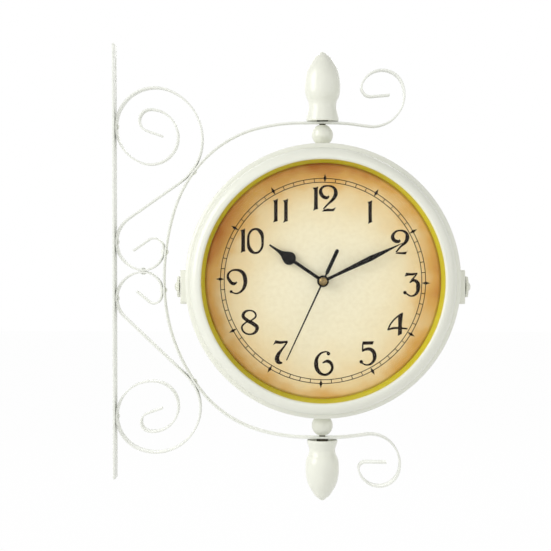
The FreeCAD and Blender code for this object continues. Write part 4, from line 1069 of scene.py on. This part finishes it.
def rounded_rectangle(half, bottom, top, radius):
    """A rectangle with rounded corners, as points for a plate's outline."""
    points = []
    for x, y, start in (
        (half - radius, bottom + radius, -90),
        (half - radius, top - radius, 0),
        (-half + radius, top - radius, 90),
        (-half + radius, bottom + radius, 180),
    ):
        for k in range(5):
            turn = math.radians(start + 22.5 * k)
            points.append((x + radius * math.cos(turn), y + radius * math.sin(turn), "V"))
    return points


def slot_outline(height):
    radius = slot_width / 2
    run = (slot_length - slot_width) / 2
    points = []
    for y, start in ((run, 0), (-run, 180)):
        for k in range(9):
            turn = math.radians(start + 22.5 * k)
            points.append((radius * math.cos(turn), height + y + radius * math.sin(turn), "V"))
    return points


make_bars()
make_strip()


# ---------------------------------------------------------------- balls, finials, side screws
def head_matrix(direction):
    """Local Z runs away from the clock's middle, up or down."""
    centre = Matrix.Translation(middle)
    flip = Matrix.Rotation(math.pi, 4, "X") if direction < 0 else Matrix.Identity(4)
    return centre @ flip


def make_ball(name, node_name, direction, arm_reach):
    """Ball with a neck that stands on the band and a small flat that stays clear of the arm."""
    head = arm_reach - bar_half_thickness - ball_arm_gap
    r = ball_radius
    heart = arm_reach - bar_half_thickness - ball_from_arm
    low = heart - math.sqrt(r * r - ball_neck_radius**2)
    rim = math.sqrt(r * r - (head - heart) ** 2)
    points = [
        (ball_bore_radius, ball_foot, "V"), (ball_neck_radius - 0.2, ball_foot, "V"),
        (ball_neck_radius, ball_foot + 0.2, "V"), (ball_neck_radius, low, "V"),
    ]
    for k in range(13):
        turn = math.radians(-62 + 9.9 * k)
        points.append((r * math.cos(turn), heart + r * math.sin(turn), "A"))
    points += [
        (rim + 0.25, head - 0.15, "A"), (rim - 0.25, head, "V"), (ball_bore_radius, head, "V"),
    ]
    bm = turned(points, steps=72, cyclic=True, resolution=3)
    finish_piece(name, bm, paint_white, "case", (node_name,), head_matrix(direction))


def make_finial(name, node_name, direction, arm_reach, gap, height, girth):
    """Turned finial: a full belly over a waist, and a flared foot round a deep tapered socket."""
    base = arm_reach + bar_half_thickness + gap
    from_tip = [
        (0.0, 0.0, "V"), (1.0, 0.1, "A"), (2.2, 0.7, "A"), (3.25, 1.75, "A"), (5.4, 3.3, "A"),
        (9.1, 8.4, "A"), (11.9, 13.4, "A"), (13.45, 18.5, "A"), (14.15, 23.6, "A"),
        (14.28, 28.0, "A"), (13.95, 33.5, "A"), (13.0, 36.8, "V"), (11.6, 39.8, "A"),
    ]
    outline = [(radius * girth, height - drop * girth, kind) for radius, drop, kind in from_tip]
    waist = height - 43.8 * girth
    foot = [
        (11.1, 1.0, "A"), (12.1, 0.57, "A"), (12.98, 0.2, "A"), (12.95, 0.04, "A"),
        (12.7, 0.005, "A"), (12.3, 0.005, "A"), (12.15, 0.04, "V"),
    ]
    outline += [(radius * girth, share * waist, kind) for radius, share, kind in foot]
    outline += [
        (9.0 * girth, socket_depth, "V"), (shank_bore, socket_depth, "V"),
        (shank_bore, stud_bore_depth, "V"), (0.0, stud_bore_depth, "V"),
    ]
    bm = turned(outline, steps=96, resolution=6)
    place = head_matrix(direction) @ Matrix.Translation((0, 0, base * MM))
    finish_piece(name, bm, paint_white, node_name + "_body", (node_name,), place)


make_ball("upper_ball_spacer", "upper_ball", 1, arm_over_clock)
make_ball("lower_ball_spacer", "lower_ball", -1, arm_under_clock)
make_finial("upper_finial_turned", "upper_finial", 1, arm_over_clock, 0.5, 55.9, 1.0)
make_finial("lower_finial_turned", "lower_finial", -1, arm_under_clock, 1.2, 49.4, 0.95)


def make_saddles():
    """Blocks over the seam at each side, hollowed to the bezels' skirts."""
    parts = []
    for sign in (1, -1):
        outline = rounded_rectangle(10.0, -13.75, 13.75, 2.5)
        block = plate([outline, ring_points(2.06)], saddle_thickness, 0.5)
        place = Matrix(((0, 0, sign, 0), (sign, 0, 0, 0), (0, 1, 0, 0), (0, 0, 0, 1)))
        seat = sign * (saddle_face - saddle_thickness) * MM
        place = Matrix.Translation((seat, 0, -side_drop * MM)) @ place
        bmesh.ops.transform(block, matrix=place, verts=block.verts)
        parts.append(carve(block, [(saddle_bow_radius, 60.0, (0, 30, 0), (0, -1, 0))]))
    bm = merged(*parts)
    centre = Matrix.Translation(middle)
    finish_piece("side_saddle_blocks", bm, paint_white, "case", ("side_saddles",), centre)


def make_knob(name, node_name, sign):
    """Thumb screw: shank, neck, grooved flange and domed end."""
    shank = turned(
        [
            (0.0, 99.5, "V"), (1.6, 99.5, "V"), (2.0, 99.9, "V"), (2.0, 114.7, "V"),
            (3.5, 114.7, "V"), (3.5, knob_disc_back, "V"), (0.0, knob_disc_back, "V"),
        ],
        steps=32,
        resolution=1,
    )
    rim = []
    for k in range(knob_flutes):
        for offset, radius in ((-0.28, 8.45), (0.0, 8.5), (0.28, 8.45), (0.5, 7.95)):
            turn = math.tau * (k + offset) / knob_flutes
            rim.append((radius * math.cos(turn), radius * math.sin(turn), "A"))
    disc = plate([rim], 2.0, 0.35, resolution=2)
    bmesh.ops.translate(disc, vec=(0, 0, knob_disc_back * MM), verts=disc.verts)
    dome = turned(
        [
            (0.0, 119.75, "V"), (1.2, 119.62, "A"), (2.8, 118.95, "A"), (3.8, 118.0, "A"),
            (4.2, 117.3, "V"), (0.0, 117.3, "V"),
        ],
        steps=48,
        resolution=6,
    )
    bm = merged(shank, disc, dome)
    place = Matrix.Translation((clock_x * MM, 0, (clock_z - side_drop) * MM))
    place = place @ Matrix.Rotation(math.radians(90 * sign), 4, "Y")
    finish_piece(name, bm, paint_white, node_name + "_body", (node_name,), place, weld=0)


make_saddles()
make_knob("right_thumb_screw", "right_knob", 1)
make_knob("left_thumb_screw", "left_knob", -1)


# ---------------------------------------------------------------- CAD nodes that stay
kept = {
    "strip_rivets": paint_bar,
    "bar_rivets": paint_bar,
    "case_band": band_paint,
    "upper_stud": steel_dark_for_socket_shade,
    "lower_stud": steel_dark_for_socket_shade,
    "stud_nuts": steel_dark_for_socket_shade,
    "side_nuts": steel,
}
kept_in_unit = {
    "dial": dial_paper,
    "dial_retainer": steel,
    "movement_case": black_plastic,
    "movement_cover": black_plastic,
    "battery": jacket,
    "battery_contacts": contact_metal,
    "circuit_board": board_green,
    "motor_coil": copper,
    "bush_nut": brass,
    "setting_knob": black_plastic,
    "minute_wheel": white_plastic,
    "hour_wheel": white_plastic,
    "minute_pinion": white_plastic,
    "second_arbor": steel,
}
for side in ("front", "rear"):
    for name, material in kept_in_unit.items():
        kept[side + "_" + name] = material
for name, material in kept.items():
    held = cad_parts[name]
    for slot_index in range(len(held.material_slots)):
        held.material_slots[slot_index].material = material
    if not held.material_slots:
        held.data.materials.append(material)


# ---------------------------------------------------------------- floor, light and camera
SEEN_RAYS = ("Is Camera Ray", "Is Glossy Ray", "Is Transmission Ray")
picture_pixels = 551.0
focal_pixels = 1481.0
film_width = 36.0
floor_level = -0.42
floor_half_width = 6.0
floor_white_share = 0.98


def white_to_camera(name, tint, share):
    """Pale surface that shows white to the camera but still takes the object's shadow."""
    material, tree, shader = new_material(name)
    shader.inputs["Base Color"].default_value = tint
    shader.inputs["Roughness"].default_value = 0.9
    shader.inputs["Specular IOR Level"].default_value = 0.0
    glow = node(tree, "ShaderNodeEmission")
    glow.inputs["Color"].default_value = (1, 1, 1, 1)
    glow.inputs["Strength"].default_value = 1.0
    weight = node(tree, "ShaderNodeMath", operation="MULTIPLY")
    weight.inputs[1].default_value = share
    tree.links.new(any_ray(tree, *SEEN_RAYS), weight.inputs[0])
    blend_to_output(tree, weight.outputs[0], shader, glow, "ShaderNodeOutputMaterial")
    return material


def make_floor():
    bm = bmesh.new()
    bmesh.ops.create_grid(bm, x_segments=2, y_segments=2, size=floor_half_width)
    bmesh.ops.translate(bm, vec=(clock_x * MM, 0, floor_level), verts=bm.verts)
    mesh = bpy.data.meshes.new("floor")
    bm.to_mesh(mesh)
    bm.free()
    floor = bpy.data.objects.new("floor", mesh)
    bpy.context.collection.objects.link(floor)
    mesh.materials.append(white_to_camera("white_floor", (0.92, 0.92, 0.92, 1), floor_white_share))


def make_world():
    world = bpy.data.worlds.new("white_studio")
    bpy.context.scene.world = world
    world.use_nodes = True
    tree = world.node_tree
    tree.nodes.clear()
    node(tree, "ShaderNodeOutputWorld")
    seen_back = node(tree, "ShaderNodeBackground")
    seen_back.inputs["Color"].default_value = (1, 1, 1, 1)
    seen_back.inputs["Strength"].default_value = 1.0
    fill = node(tree, "ShaderNodeBackground")
    fill.inputs["Color"].default_value = (1.0, 1.0, 0.98, 1)
    fill.inputs["Strength"].default_value = 0.45
    blend_to_output(tree, any_ray(tree, *SEEN_RAYS), fill, seen_back, "ShaderNodeOutputWorld")


def area_light(name, place, aim, size, power, tint=(1, 1, 1)):
    data = bpy.data.lights.new(name, "AREA")
    data.shape = "RECTANGLE"
    data.size = size[0]
    data.size_y = size[1]
    data.energy = power
    data.color = tint
    lamp = bpy.data.objects.new(name, data)
    bpy.context.collection.objects.link(lamp)
    lamp.location = place
    lamp.rotation_euler = (Vector(aim) - Vector(place)).to_track_quat("-Z", "Y").to_euler()


def make_camera():
    data = bpy.data.cameras.new("camera")
    data.sensor_width = film_width
    data.lens = focal_pixels * film_width / picture_pixels
    data.clip_start = 0.05
    data.clip_end = 60.0
    camera = bpy.data.objects.new("camera", data)
    bpy.context.collection.objects.link(camera)
    camera.location = (0.14906, -1.19941, 0.01141)
    forward = Vector((-0.01475, 0.99965, -0.02207))
    camera.rotation_euler = forward.to_track_quat("-Z", "Y").to_euler()
    bpy.context.scene.camera = camera


make_floor()
make_world()
area_light("key", (-1.6, -0.9, 0.7), middle, (1.2, 1.4), 24.0)
area_light("front", (0.2, -2.0, 0.4), middle, (1.6, 1.6), 4.0)
area_light("fill", (1.5, -1.0, 0.3), middle, (1.2, 1.6), 5.0)
area_light("back", (0.1, 1.7, 0.9), middle, (1.6, 1.2), 10.0)
make_camera()

scene = bpy.context.scene
scene.view_settings.view_transform = "Standard"
